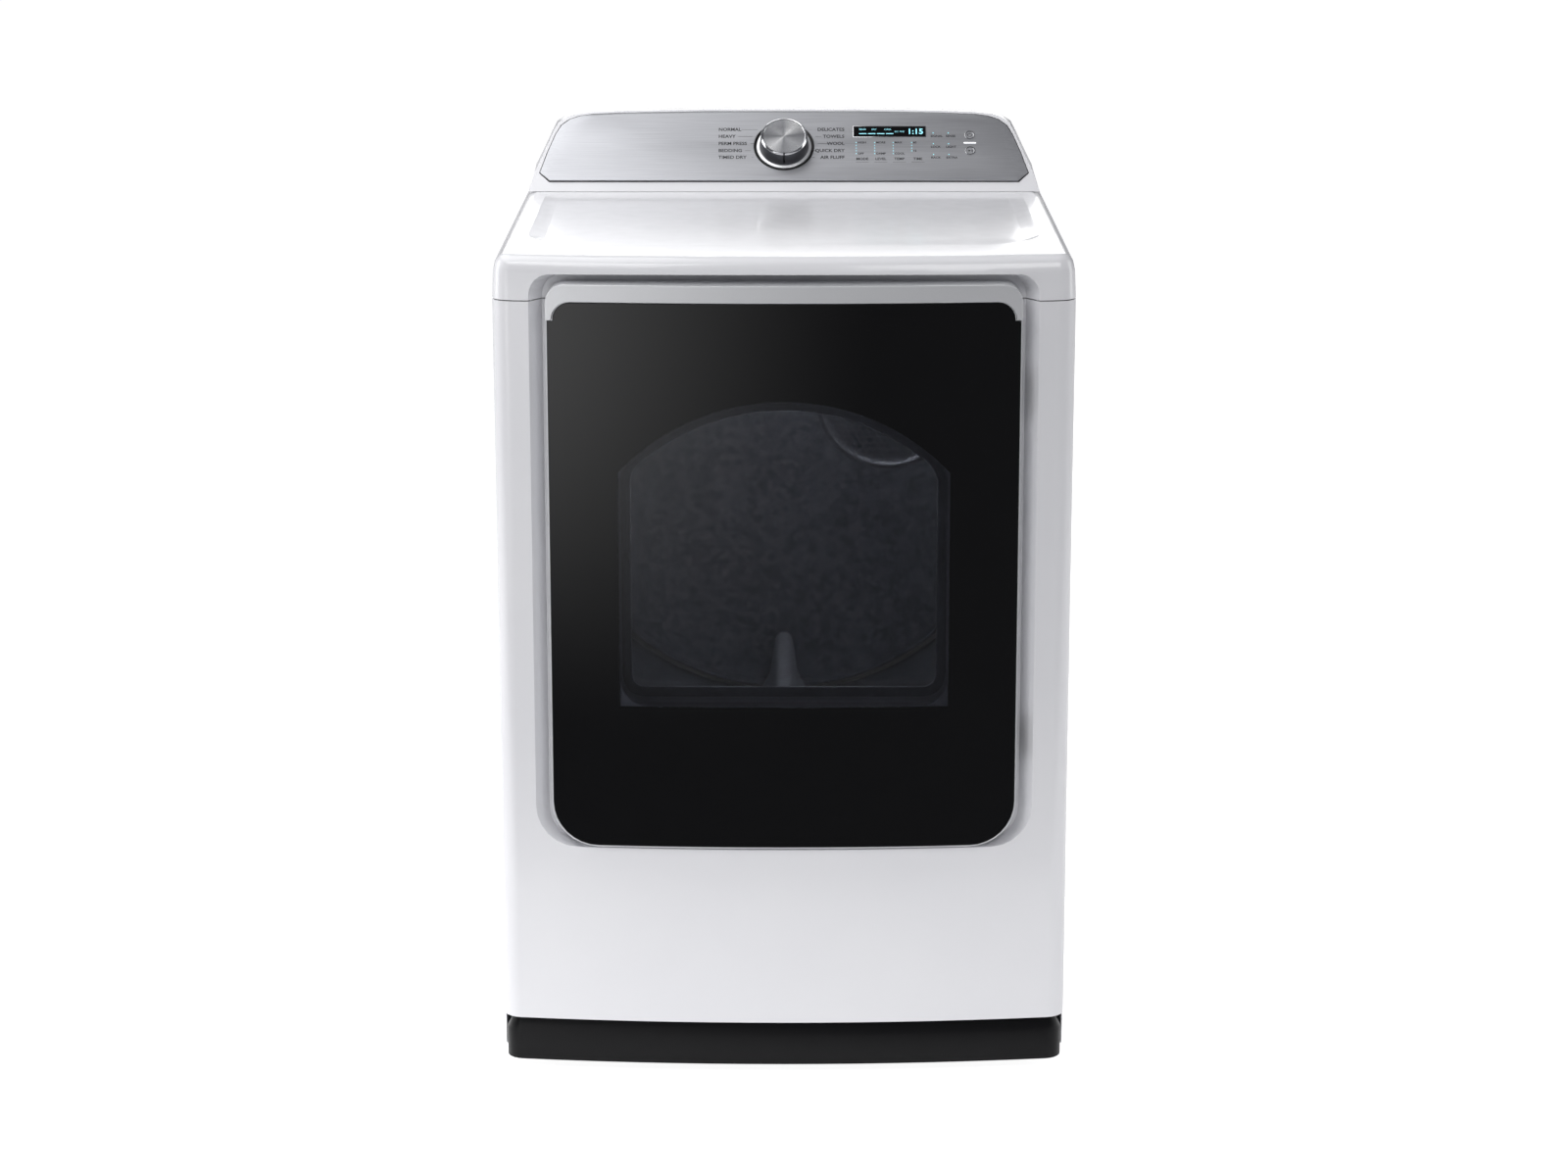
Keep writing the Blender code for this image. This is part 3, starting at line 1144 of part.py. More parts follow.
def build_inner_panel():
    """White back of the door: flat plate, arched plug and its rear face with the window hole."""
    f, b = DOOR_BACK - 0.0022, DOOR_BACK
    wall = 0.0025
    inset = BACK_CHAMFER
    plate = prism("door_inner_panel",
                  rounded(DOOR_HALF_WIDTH - inset, DOOR_BOTTOM + inset, GRIP_BOTTOM - inset,
                          DOOR_CORNER - inset, 0.024), "Y", f, b, "white_plastic")
    join(plate, prism("plug", arch(PLUG_MARGIN), "Y", f + 0.0005, PLUG_BACK, "white_plastic"))
    cut(plate, prism("hollow", arch(PLUG_MARGIN - wall), "Y", f - 0.01, PLUG_BACK - wall,
                     "white_plastic"),
        prism("window", arch(0), "Y", f - 0.01, PLUG_BACK + 0.01, "white_plastic"))
    return cut(plate, *hinge_pockets())


def build_door_window():
    y = PLUG_BACK - 0.0025 - CLEARANCE
    return prism("door_window", arch(PLUG_MARGIN / 2), "Y", y - 0.004, y, "clear_glass")


def build_door_seal():
    """Soft ring on the door's back, round the plug."""
    ring = prism("door_seal", arch(PLUG_MARGIN + 0.0015 + SEAL_WIDTH), "Y", DOOR_BACK + CLEARANCE,
                 RECESS_FLOOR - 0.0006, "rubber")
    return cut(ring, prism("hole", arch(PLUG_MARGIN + 0.0015), "Y", DOOR_BACK - 0.01,
                           RECESS_FLOOR + 0.01, "rubber"))


def build_strike():
    """Tongue that enters the catch when the door shuts."""
    x, z = LATCH_X, LATCH_HEIGHT
    plate = block("door_strike", (x - 0.012, x + 0.012), (DOOR_BACK + CLEARANCE, DOOR_BACK + 0.0023),
                  (z - 0.022, z + 0.022), "white_plastic")
    return join(plate, block("tongue", (x - 0.0035, x + 0.0035), (DOOR_BACK + 0.001, DOOR_BACK + 0.0165),
                             (z - 0.0045, z + 0.0045), "white_plastic"))


def build_hinge_leaf(name, z):
    """Door side of a hinge: a leaf with two lugs and the pin between them."""
    x, y = HINGE_X, HINGE_Y
    half = HINGE_POCKET / 2 - CLEARANCE
    left = x - 0.0245 + CLEARANCE
    leaf = block(name, (left, left + 0.002), (y - 0.0045, DOOR_BACK - 0.001), (z - half, z + half), "steel")
    for low in (z - half, z + half - 0.002):
        join(leaf, block("lug", (left + 0.001, x + 0.003), (y - 0.003, y + 0.003), (low, low + 0.002),
                         "steel"))
    return join(leaf, rod("pin", (x, y, z - half + 0.001), (x, y, z + half - 0.001), PIN_RADIUS,
                          "steel", 16))


def build_hinge_bracket(name, z):
    """Cabinet side of a hinge: foot plate, slanting arm and the eye round the pin."""
    x, y = HINGE_X, HINGE_Y
    low, high = z - 0.008, z + 0.008
    wall = RECESS_FLOOR - CLEARANCE
    lean = (wall - y) * 0.80
    foot = block(name, (x - lean - 0.020, x - lean + 0.004), (wall - 0.0018, wall), (z - 0.020, z + 0.020),
                 "steel")
    arm = prism("arm", [(x - 0.0015, y), (x + 0.0015, y + 0.003), (x - lean + 0.002, wall - 0.0008),
                        (x - lean - 0.003, wall - 0.0008)], "Z", low, high, "steel")
    join(foot, arm, rod("eye", (x, y, low), (x, y, high), EYE_RADIUS, "steel", 16))
    return cut(foot, rod("bore", (x, y, low - 0.01), (x, y, high + 0.01), PIN_RADIUS + 0.0005, "steel", 16))


# ---------------------------------------------------------------- assembly
def build_cabinet():
    build_front_panel()
    build_top_panel()
    build_side("side_panel_left", -1)
    build_side("side_panel_right", 1)
    build_rear_panel()
    build_kick_plate()
    build_base_pan()
    build_front_bulkhead()
    build_rear_bulkhead()
    build_inlet_grille()
    rim = COLLAR_RADIUS - RIM_GAP
    build_seal("front_drum_seal", rim + CLEARANCE * 5, COLLAR_RADIUS - CLEARANCE * 4,
               DRUM_FRONT - 0.010, THROAT_BACK - CLEARANCE)
    rim = DRUM_INSIDE - RIM_GAP - 0.003
    build_seal("rear_drum_seal", rim + CLEARANCE * 6, DRUM_INSIDE - CLEARANCE * 6,
               DRUM_REAR - 0.0095, DRUM_REAR - 0.001)
    build_motor()
    build_motor_bracket()
    build_blower_housing()
    build_exhaust_duct()
    build_heater_duct()
    build_heater_element()
    build_belt()
    build_latch()
    build_sensor()
    build_drum_light()
    build_terminal_cover()
    build_console_housing()
    build_fascia()
    build_display()
    build_board()
    build_hinge_bracket("hinge_bracket_lower", HINGE_LOW)
    build_hinge_bracket("hinge_bracket_upper", HINGE_HIGH)


def build_moving():
    for name, (x, y) in FEET.items():
        hang(build_foot(name), pivot(name + "_slide", (x, y, 0)))
    drum = pivot("drum_axis", (0, 0, DRUM_HEIGHT))
    hang(build_drum(), drum)
    for number in range(BAFFLES):
        hang(build_baffle(number), drum)
    for end, y in (("front", DRUM_FRONT + 0.030), ("rear", DRUM_REAR - 0.042)):
        for side, word in ((-1, "left"), (1, "right")):
            name = f"drum_roller_{end}_{word}"
            x, z = roller_centre(side)
            hang(build_roller(name, side, y), pivot(name + "_axis", (x, y, z)))
    motor = pivot("motor_axis", (MOTOR_X, 0, MOTOR_HEIGHT))
    hang(build_motor_shaft(), motor)
    hang(build_blower_wheel(), motor)
    arm = pivot("idler_pivot", (IDLER_PIVOT_X, BELT_Y, IDLER_PIVOT_HEIGHT))
    hang(build_idler_arm(), arm)
    hang(build_idler_pulley(), pivot("idler_axis", (IDLER_X, BELT_Y, IDLER_HEIGHT)))
    hinge = pivot("door_hinge_axis", (HINGE_X, HINGE_Y, DRUM_HEIGHT))
    for piece in (build_door_frame(), build_door_glass(), build_door_handle(), build_inner_panel(),
                  build_door_window(), build_door_seal(), build_strike(),
                  build_hinge_leaf("door_hinge_lower", HINGE_LOW),
                  build_hinge_leaf("door_hinge_upper", HINGE_HIGH)):
        hang(piece, hinge)
    hang(build_knob(), pivot("knob_axis", face_point(0, KNOB_RISE)))
    hang(build_button("power_button", POWER_RISE), pivot("power_axis", face_point(BUTTON_X, POWER_RISE)))
    hang(build_button("start_button", START_RISE), pivot("start_axis", face_point(BUTTON_X, START_RISE)))
    hang(build_lint_filter(), pivot("filter_slide", (0, FILTER_FRONT, MOUTH_BOTTOM)))


clear_scene()
build_cabinet()
build_moving()
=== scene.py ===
"""Finishes and small details of a side-opening clothes dryer, laid over its packed assembly.

Sizes are metres. The front faces -Y, +X is the side with the hinges, and the floor is at Z 0.
"""
import math

import bmesh
import bpy
from mathutils import Matrix, Vector


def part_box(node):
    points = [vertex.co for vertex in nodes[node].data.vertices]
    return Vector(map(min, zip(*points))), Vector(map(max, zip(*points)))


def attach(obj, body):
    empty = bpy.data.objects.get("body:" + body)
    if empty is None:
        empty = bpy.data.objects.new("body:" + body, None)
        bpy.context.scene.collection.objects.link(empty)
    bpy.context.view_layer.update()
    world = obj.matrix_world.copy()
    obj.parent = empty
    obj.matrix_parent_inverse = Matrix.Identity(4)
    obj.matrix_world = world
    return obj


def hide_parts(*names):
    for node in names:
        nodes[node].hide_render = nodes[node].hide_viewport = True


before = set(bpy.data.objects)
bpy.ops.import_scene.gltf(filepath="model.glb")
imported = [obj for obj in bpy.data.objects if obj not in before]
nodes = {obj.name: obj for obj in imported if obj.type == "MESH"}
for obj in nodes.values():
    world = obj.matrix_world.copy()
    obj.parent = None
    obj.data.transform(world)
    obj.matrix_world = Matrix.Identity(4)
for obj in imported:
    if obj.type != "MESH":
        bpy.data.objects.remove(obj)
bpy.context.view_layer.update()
MM = 0.001


# ---------------------------------------------------------------- materials
def linear(code):
    """Linear colour from an sRGB hex code."""
    out = []
    for i in (0, 2, 4):
        c = int(code[i:i + 2], 16) / 255
        out.append(c / 12.92 if c <= 0.04045 else ((c + 0.055) / 1.055) ** 2.4)
    return (*out, 1.0)


def add(tree, kind, links=None, **settings):
    """One node: settings are its properties or sockets, links its incoming connections."""
    node = tree.nodes.new(kind)
    for key, value in settings.items():
        if hasattr(node, key):
            setattr(node, key, value)
        else:
            node.inputs[key.replace("_", " ")].default_value = value
    for key, source in (links or {}).items():
        tree.links.new(source, node.inputs[key if isinstance(key, int) else key.replace("_", " ")])
    return node


def surface(name, colour, rough, metal=0.0, **sockets):
    """Material with one Principled shader; returns it with its tree, shader and Object coordinates."""
    made = bpy.data.materials.new(name)
    made.use_nodes = True
    tree = made.node_tree
    tree.nodes.clear()
    shader = add(tree, "ShaderNodeBsdfPrincipled", Base_Color=linear(colour), Roughness=rough,
                 Metallic=metal, **sockets)
    add(tree, "ShaderNodeOutputMaterial", {"Surface": shader.outputs[0]})
    place = add(tree, "ShaderNodeTexCoord").outputs["Object"]
    return made, tree, shader, place


def vary(tree, shader, pattern, low, high, socket="Roughness"):
    """Drives a socket from a 0..1 pattern, between two values."""
    span = add(tree, "ShaderNodeMapRange", {0: pattern}, To_Min=low, To_Max=high)
    tree.links.new(span.outputs[0], shader.inputs[socket])


def tint(tree, shader, pattern, dark, light):
    """Colour that wanders between two close shades of the same finish."""
    ramp = add(tree, "ShaderNodeValToRGB", {0: pattern})
    ramp.color_ramp.elements[0].color = linear(dark)
    ramp.color_ramp.elements[1].color = linear(light)
    tree.links.new(ramp.outputs[0], shader.inputs["Base Color"])
    return ramp


def relief(tree, shader, pattern, height, strength=1.0):
    """Bump of a real height in metres."""
    bump = add(tree, "ShaderNodeBump", {"Height": pattern}, Strength=strength, Distance=height)
    tree.links.new(bump.outputs[0], shader.inputs["Normal"])
    return bump


def noise(tree, place, size, detail=3.0, stretch=(1, 1, 1)):
    """Noise whose grain has a real size in metres, stretched along chosen axes."""
    mapped = add(tree, "ShaderNodeMapping", {0: place}, Scale=stretch)
    return add(tree, "ShaderNodeTexNoise", {"Vector": mapped.outputs[0]}, Scale=1.0 / size,
               Detail=detail, Roughness=0.55).outputs[0]


# Polyester enamel baked on sheet steel: glossy white with a faint orange peel of about 3 mm.
enamel, t, s, p = surface("baked_white_enamel", "EEEEF2", 0.2, Coat_Weight=0.35, Coat_Roughness=0.08,
                          IOR=1.5)
peel = noise(t, p, 3.0 * MM, 2.0)
tint(t, s, noise(t, p, 180 * MM, 2.0), "EBEBEF", "F1F1F4")
vary(t, s, noise(t, p, 25 * MM), 0.17, 0.26)
relief(t, s, peel, 0.02 * MM, 0.35)

# Moulded ABS with a spark-eroded mould texture; its 0.3 mm grain is drawn at 0.9 mm so that it shows.
abs_white, t, s, p = surface("moulded_abs_white", "E9E9EA", 0.42, IOR=1.54)
grain = noise(t, p, 0.9 * MM, 4.0)
tint(t, s, noise(t, p, 60 * MM, 3.0), "E3E3E5", "EEEEEF")
vary(t, s, grain, 0.34, 0.52)
relief(t, s, grain, 0.03 * MM, 0.5)

# Kick plate: steel in semi-gloss black paint with fine dust specks, 1.2 mm.
black_paint, t, s, p = surface("semi_gloss_black_paint", "08080A", 0.34, IOR=1.5,
                                 Specular_IOR_Level=0.22)
dust = noise(t, p, 1.2 * MM, 5.0)
tint(t, s, noise(t, p, 45 * MM, 4.0), "050507", "0B0B0E")
vary(t, s, dust, 0.24, 0.42)
relief(t, s, dust, 0.015 * MM, 0.4)

# Talc-filled polypropylene: matt grey with flow marks along the moulding, 12 mm long.
grey_pp, t, s, p = surface("filled_polypropylene_grey", "77797D", 0.55, IOR=1.49)
flow = noise(t, p, 12 * MM, 5.0, (1, 1, 4))
tint(t, s, flow, "6C6E72", "85878A")
vary(t, s, noise(t, p, 0.8 * MM, 3.0), 0.46, 0.64)
relief(t, s, noise(t, p, 0.8 * MM, 3.0), 0.03 * MM, 0.5)

# Silver-sprayed ABS with a clear coat: fine aluminium flake, 0.2 mm drawn at 0.5 mm.
silver_paint, t, s, p = surface("satin_silver_lacquer", "E8E9EC", 0.26, 0.45, Coat_Weight=0.25,
                                Coat_Roughness=0.15)
flake = noise(t, p, 0.5 * MM, 2.0)
tint(t, s, flake, "E2E3E6", "EEEFF1")
vary(t, s, noise(t, p, 8 * MM, 3.0), 0.28, 0.38)
relief(t, s, flake, 0.006 * MM, 0.4)

# Brushed aluminium plate: grain runs across, lines 0.25 mm apart drawn at 0.6 mm, 70 mm long.
brushed, t, s, p = surface("brushed_aluminium", "C6C7CB", 0.36, 0.7, Anisotropic=0.5)
brush = noise(t, p, 0.9 * MM, 4.0, (0.013, 1, 1))
tint(t, s, brush, "A9AAAF", "CFD0D4")
vary(t, s, brush, 0.27, 0.44)
relief(t, s, brush, 0.008 * MM, 0.6)

# Hot-dip galvanised sheet: zinc spangle, crystals about 9 mm across.
galvanised, t, s, p = surface("galvanised_sheet", "A9ACAF", 0.42, 0.8)
spangle = add(t, "ShaderNodeTexVoronoi", {"Vector": p}, Scale=1 / (9 * MM))
shade = add(t, "ShaderNodeSeparateColor", {0: spangle.outputs["Color"]}).outputs[0]
tint(t, s, shade, "999CA0", "B7BABD")
vary(t, s, shade, 0.32, 0.52)
relief(t, s, noise(t, p, 5 * MM, 3.0), 0.03 * MM, 0.4)

# Cold-rolled steel, turned or pressed and oiled: scratches 1 mm apart along its length.
steel, t, s, p = surface("rolled_steel", "9EA0A3", 0.36, 1.0)
rolled = noise(t, p, 1.0 * MM, 4.0, (1, 1, 0.1))
tint(t, s, rolled, "8B8D90", "ADAFB2")
vary(t, s, rolled, 0.28, 0.46)
relief(t, s, rolled, 0.01 * MM, 0.5)

# Pressed wool felt: matted fibres about 2 mm long, with sheen from their loose ends.
felt, t, s, p = surface("pressed_wool_felt", "8C8880", 0.95, Sheen_Weight=0.6, Sheen_Roughness=0.5)
fibre = noise(t, p, 2.0 * MM, 8.0)
tint(t, s, fibre, "726E67", "A39F97")
relief(t, s, fibre, 0.35 * MM, 0.8)

# Black EPDM rubber: matt, with a bloom that greys it in patches of some 15 mm.
rubber, t, s, p = surface("black_rubber", "17171A", 0.62, IOR=1.52)
bloom = noise(t, p, 15 * MM, 5.0)
tint(t, s, bloom, "121214", "222226")
vary(t, s, bloom, 0.52, 0.74)
relief(t, s, noise(t, p, 1.0 * MM, 4.0), 0.03 * MM, 0.5)

# White silicone door gasket: satin, slightly dusty.
silicone, t, s, p = surface("grey_silicone_gasket", "C8C9CB", 0.5, IOR=1.43, Subsurface_Weight=0.05)
tint(t, s, noise(t, p, 20 * MM, 4.0), "BEBFC2", "D0D1D3")
relief(t, s, noise(t, p, 1.5 * MM, 3.0), 0.03 * MM, 0.4)

# FR-4 circuit board: green solder mask with copper tracks 2.5 mm apart showing as ridges.
circuit, t, s, p = surface("fr4_solder_mask", "1D5A34", 0.35, IOR=1.5)
tracks = add(t, "ShaderNodeTexBrick", {"Vector": p}, Scale=1 / (10 * MM), Color1=linear("1B5530"),
             Color2=linear("236A3D"), Mortar=linear("3E8A55"), Mortar_Size=0.03)
t.links.new(tracks.outputs[0], s.inputs["Base Color"])
relief(t, s, tracks.outputs[1], 0.04 * MM, 0.6)

# Nichrome strip, blued by heat in bands of some 20 mm.
nichrome, t, s, p = surface("heat_blued_nichrome", "6E6660", 0.45, 1.0)
heat = noise(t, p, 20 * MM, 4.0)
tint(t, s, heat, "58606E", "867466")
vary(t, s, heat, 0.36, 0.56)
relief(t, s, noise(t, p, 1.0 * MM), 0.01 * MM, 0.5)

# Motor shell: drawn steel in dark grey dip paint with runs of 6 mm.
motor_paint, t, s, p = surface("dipped_grey_paint", "4A4D52", 0.45, IOR=1.5)
dip = noise(t, p, 6 * MM, 4.0, (1, 1, 0.4))
tint(t, s, dip, "42454A", "545860")
vary(t, s, dip, 0.36, 0.55)
relief(t, s, dip, 0.05 * MM, 0.4)

# Glossy black ABS or back-printed film under clear glass.
gloss_black, t, s, p = surface("gloss_black_glass", "030304", 0.06, IOR=1.52)
smear = noise(t, p, 40 * MM, 4.0)
tint(t, s, smear, "020203", "050506")
vary(t, s, smear, 0.04, 0.09)
relief(t, s, noise(t, p, 30 * MM, 1.0), 0.01 * MM, 0.1)

# Matt black, grain 0.8 mm: moulding of the lint screen, and painted shade for the gaps and wells of the
# console face.
matt_black, t, s, p = surface("matt_black_abs_and_gap_shade", "08080A", 0.55, IOR=1.54)
grain = noise(t, p, 0.8 * MM, 3.0)
tint(t, s, grain, "060607", "0E0E10")
vary(t, s, grain, 0.45, 0.65)
relief(t, s, grain, 0.02 * MM, 0.5)

# Knob face: aluminium turned on a lathe, rings 0.3 mm apart. The two fans of light such rings throw about
# the knob's own axis are painted into its colour as broad light and dark sectors: painted highlight and
# shade.
spun_face, t, s, p = surface("spun_aluminium_face", "C4C5C8", 0.3, 0.75, Anisotropic=0.5)
centred = add(t, "ShaderNodeMapping", {0: p}, Location=(0, -0.25753, -1.05953))
square = add(t, "ShaderNodeMapping", {0: centred.outputs[0]}, Rotation=(-math.radians(45), 0, 0))
sector = add(t, "ShaderNodeTexGradient", {0: square.outputs[0]}, gradient_type="RADIAL")
painted_glint_fans = add(t, "ShaderNodeValToRGB", {0: sector.outputs[1]})
stops = painted_glint_fans.color_ramp.elements
stops[0].position, stops[0].color = 0.0, linear("8E8F93")
stops[1].position, stops[1].color = 1.0, linear("8E8F93")
# the light stops are painted highlights and the dark ones painted shade, fixed to the knob's face
for where, code in ((0.13, "F2F2F4"), (0.24, "9A9B9F"), (0.38, "B9BABD"), (0.52, "8A8B8F"),
                    (0.64, "F6F6F7"), (0.76, "A2A3A7"), (0.88, "C0C1C4")):
    stop = stops.new(where)
    stop.color = linear(code)
t.links.new(painted_glint_fans.outputs[0], s.inputs["Base Color"])
rings = add(t, "ShaderNodeTexWave", {"Vector": square.outputs[0]}, Scale=math.pi / 10 / (0.9 * MM),
            wave_type="RINGS", rings_direction="Z", Distortion=0.0)
vary(t, s, rings.outputs[1], 0.24, 0.36)
relief(t, s, rings.outputs[1], 0.004 * MM, 0.4)

# Diamond-cut chamfer: mirror-bright, with faint tool chatter 2 mm long.
polished, t, s, p = surface("diamond_cut_aluminium", "D8D9DB", 0.1, 1.0)
chatter = noise(t, p, 2 * MM, 2.0)
tint(t, s, chatter, "CDCED1", "E2E3E5")
vary(t, s, chatter, 0.07, 0.16)

# Grip wall: dark anodised aluminium, matt, with 1 mm grain.
knob_wall, t, s, p = surface("dark_anodised_aluminium", "4C4D51", 0.38, 0.7)
grain = noise(t, p, 1 * MM, 3.0)
tint(t, s, grain, "434448", "57585C")
vary(t, s, grain, 0.3, 0.46)

# Screen ink, printed black on the metal; its film varies in weight over 4 mm.
ink, t, s, p = surface("printed_black_ink", "1C1C1F", 0.5)
weight = noise(t, p, 4 * MM, 3.0)
tint(t, s, weight, "161619", "252529")
vary(t, s, weight, 0.42, 0.6)


# Lit segments and lamps behind smoked acrylic: pale cyan light, a little uneven over 3 mm.
lit, t, s, p = surface("cyan_light_segment", "6FBCCB", 0.4, Emission_Strength=0.75)
glow = noise(t, p, 3 * MM, 2.0)
shade = tint(t, s, glow, "77D8EC", "B4F2FA")
t.links.new(shade.outputs[0], s.inputs["Emission Color"])

# White lamp lens of the start key.
lit_white, t, s, p = surface("white_light_lens", "FFFFFF", 0.4, Emission_Strength=1.2)
glow = noise(t, p, 3 * MM, 2.0)
shade = tint(t, s, glow, "F2F6FF", "FFFFFF")
t.links.new(shade.outputs[0], s.inputs["Emission Color"])

# Perforated inlet: aluminised steel, brighter than the drum, specked where it was punched.
bright_perforation, t, s, p = surface("aluminised_steel_perforated", "B9BABD", 0.3, 0.85)
specks = noise(t, p, 3 * MM, 4.0)
tint(t, s, specks, "A3A4A8", "CDCED0")
vary(t, s, specks, 0.24, 0.42)
relief(t, s, specks, 0.02 * MM, 0.5)


def door_pane():
    """Toughened glass, black enamel fired on its back except for the arched clear field."""
    made, t, s, p = surface("black_printed_glass", "040405", 0.05, IOR=1.52)
    smear = noise(t, p, 60 * MM, 4.0)
    tint(t, s, smear, "030304", "070708")
    vary(t, s, smear, 0.035, 0.07)
    out = next(n for n in t.nodes if n.type == "OUTPUT_MATERIAL")
    axes = add(t, "ShaderNodeSeparateXYZ", {0: p})
    side = add(t, "ShaderNodeMath", {0: axes.outputs[0]}, operation="ABSOLUTE")
    in_side = add(t, "ShaderNodeMath", {0: side.outputs[0]}, operation="LESS_THAN")
    in_side.inputs[1].default_value = 0.196
    low = add(t, "ShaderNodeMath", {0: axes.outputs[2]}, operation="GREATER_THAN")
    low.inputs[1].default_value = 0.465
    rise = add(t, "ShaderNodeMath", {0: axes.outputs[2]}, operation="SUBTRACT")
    rise.inputs[1].default_value = 0.8366 - 0.265
    far = add(t, "ShaderNodeVectorMath", operation="LENGTH")
    flat = add(t, "ShaderNodeCombineXYZ", {0: axes.outputs[0], 1: rise.outputs[0]})
    t.links.new(flat.outputs[0], far.inputs[0])
    crown = add(t, "ShaderNodeMath", {0: far.outputs["Value"]}, operation="LESS_THAN")
    crown.inputs[1].default_value = 0.265
    below = add(t, "ShaderNodeMath", {0: rise.outputs[0]}, operation="LESS_THAN")
    below.inputs[1].default_value = 0.0
    arch = add(t, "ShaderNodeMath", {0: crown.outputs[0], 1: below.outputs[0]}, operation="MAXIMUM")
    box = add(t, "ShaderNodeMath", {0: in_side.outputs[0], 1: low.outputs[0]}, operation="MULTIPLY")
    clear = add(t, "ShaderNodeMath", {0: arch.outputs[0], 1: box.outputs[0]}, operation="MULTIPLY")
    see = add(t, "ShaderNodeBsdfTransparent", Color=linear("C4C5CA"))
    gloss = add(t, "ShaderNodeBsdfGlossy", Color=linear("FFFFFF"), Roughness=0.03)
    edge = add(t, "ShaderNodeFresnel", IOR=1.5)
    pane = add(t, "ShaderNodeMixShader", {0: edge.outputs[0], 1: see.outputs[0], 2: gloss.outputs[0]})
    both = add(t, "ShaderNodeMixShader", {0: clear.outputs[0], 1: s.outputs[0], 2: pane.outputs[0]})
    t.links.new(both.outputs[0], out.inputs["Surface"])
    return made


def clear_pane():
    """Clear moulded window: lets sight through and mirrors a little at a slant."""
    made, t, s, p = surface("clear_window", "FFFFFF", 0.03)
    out = next(n for n in t.nodes if n.type == "OUTPUT_MATERIAL")
    haze = noise(t, p, 50 * MM, 3.0)
    shade = add(t, "ShaderNodeValToRGB", {0: haze})
    shade.color_ramp.elements[0].color = linear("E4E6E8")
    shade.color_ramp.elements[1].color = linear("F2F3F4")
    see = add(t, "ShaderNodeBsdfTransparent", {"Color": shade.outputs[0]})
    gloss = add(t, "ShaderNodeBsdfGlossy", Roughness=0.04)
    edge = add(t, "ShaderNodeFresnel", IOR=1.5)
    pane = add(t, "ShaderNodeMixShader", {0: edge.outputs[0], 1: see.outputs[0], 2: gloss.outputs[0]})
    t.links.new(pane.outputs[0], out.inputs["Surface"])
    t.nodes.remove(s)
    return made


printed_glass = door_pane()
clear_glass = clear_pane()


# ---------------------------------------------------------------- modelling tools
def clear_pick():
    """Nothing selected, object mode."""
    if bpy.context.object and bpy.context.object.mode != "OBJECT":
        bpy.ops.object.mode_set(mode="OBJECT")
    bpy.ops.object.select_all(action="DESELECT")


def pick(faces=None, edges=None):
    """In edit mode: selects only the faces or edges that pass a test."""
    mesh = bmesh.from_edit_mesh(bpy.context.object.data)
    bpy.ops.mesh.select_all(action="DESELECT")
    mesh.faces.ensure_lookup_table()
    for face in mesh.faces if faces else ():
        face.select_set(bool(faces(face)))
    for edge in mesh.edges if edges else ():
        edge.select_set(bool(edges(edge)))
    bmesh.update_edit_mesh(bpy.context.object.data)


def edit(mode="FACE"):
    bpy.ops.object.mode_set(mode="EDIT")
    bpy.ops.mesh.select_mode(type=mode)


def apply_all(obj):
    """Applies the modifiers and the object's place."""
    clear_pick()
    obj.select_set(True)
    bpy.context.view_layer.objects.active = obj
    for modifier in list(obj.modifiers):
        bpy.ops.object.modifier_apply(modifier=modifier.name)
    bpy.ops.object.transform_apply(location=True, rotation=True, scale=True)
    return obj


def settle(obj, name, body, material, angle=30, outward=True):
    """Finishes a piece: applied, faces outward, smooth by angle, named, clad and riding its body."""
    apply_all(obj)
    if outward:
        edit()
        bpy.ops.mesh.select_all(action="SELECT")
        bpy.ops.mesh.remove_doubles(threshold=1e-6)
        bpy.ops.mesh.normals_make_consistent(inside=False)
        bpy.ops.object.mode_set(mode="OBJECT")
    bpy.ops.object.shade_smooth_by_angle(angle=math.radians(angle))
    obj.name = obj.data.name = name
    if material is not None:
        obj.data.materials.clear()
        obj.data.materials.append(material)
    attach(obj, body)
    return obj


def merge(pieces):
    """One object from several."""
    clear_pick()
    for piece in pieces:
        piece.select_set(True)
    bpy.context.view_layer.objects.active = pieces[0]
    bpy.ops.object.join()
    return pieces[0]


def carve(obj, tool):
    """Takes a tool's shape out of a piece and removes the tool."""
    cut = obj.modifiers.new("cut", "BOOLEAN")
    cut.operation, cut.solver, cut.object = "DIFFERENCE", "EXACT", tool
    clear_pick()
    obj.select_set(True)
    bpy.context.view_layer.objects.active = obj
    bpy.ops.object.modifier_apply(modifier=cut.name)
    bpy.data.objects.remove(tool)
    return obj


def disc(radius, depth, at, facing, sides=32, bevel=0.0):
    """A short cylinder with softened front rim; facing is the way its face looks."""
    clear_pick()
    turn = Vector(facing).to_track_quat("Z", "Y").to_euler()
    middle = Vector(at) - Vector(facing).normalized() * (depth / 2)
    bpy.ops.mesh.primitive_cylinder_add(vertices=sides, radius=radius, depth=depth, location=middle,
                                        rotation=turn)
    made = bpy.context.object
    if bevel:
        edit("EDGE")
        pick(edges=lambda e: all(v.co.z > depth * 0.49 for v in e.verts))
        bpy.ops.mesh.bevel(offset=bevel, segments=2, affect="EDGES")
        bpy.ops.object.mode_set(mode="OBJECT")
    return made


def slab(low, high, bevel=0.0, segments=2):
    """A block between two corners with rounded edges."""
    clear_pick()
    low, high = Vector(low), Vector(high)
    bpy.ops.mesh.primitive_cube_add(size=1, location=(low + high) / 2)
    made = bpy.context.object
    made.dimensions = high - low
    bpy.ops.object.transform_apply(location=False, rotation=False, scale=True)
    if bevel:
        edit("EDGE")
        bpy.ops.mesh.select_all(action="SELECT")
        bpy.ops.mesh.bevel(offset=bevel, segments=segments, affect="EDGES")
        bpy.ops.object.mode_set(mode="OBJECT")
    return made


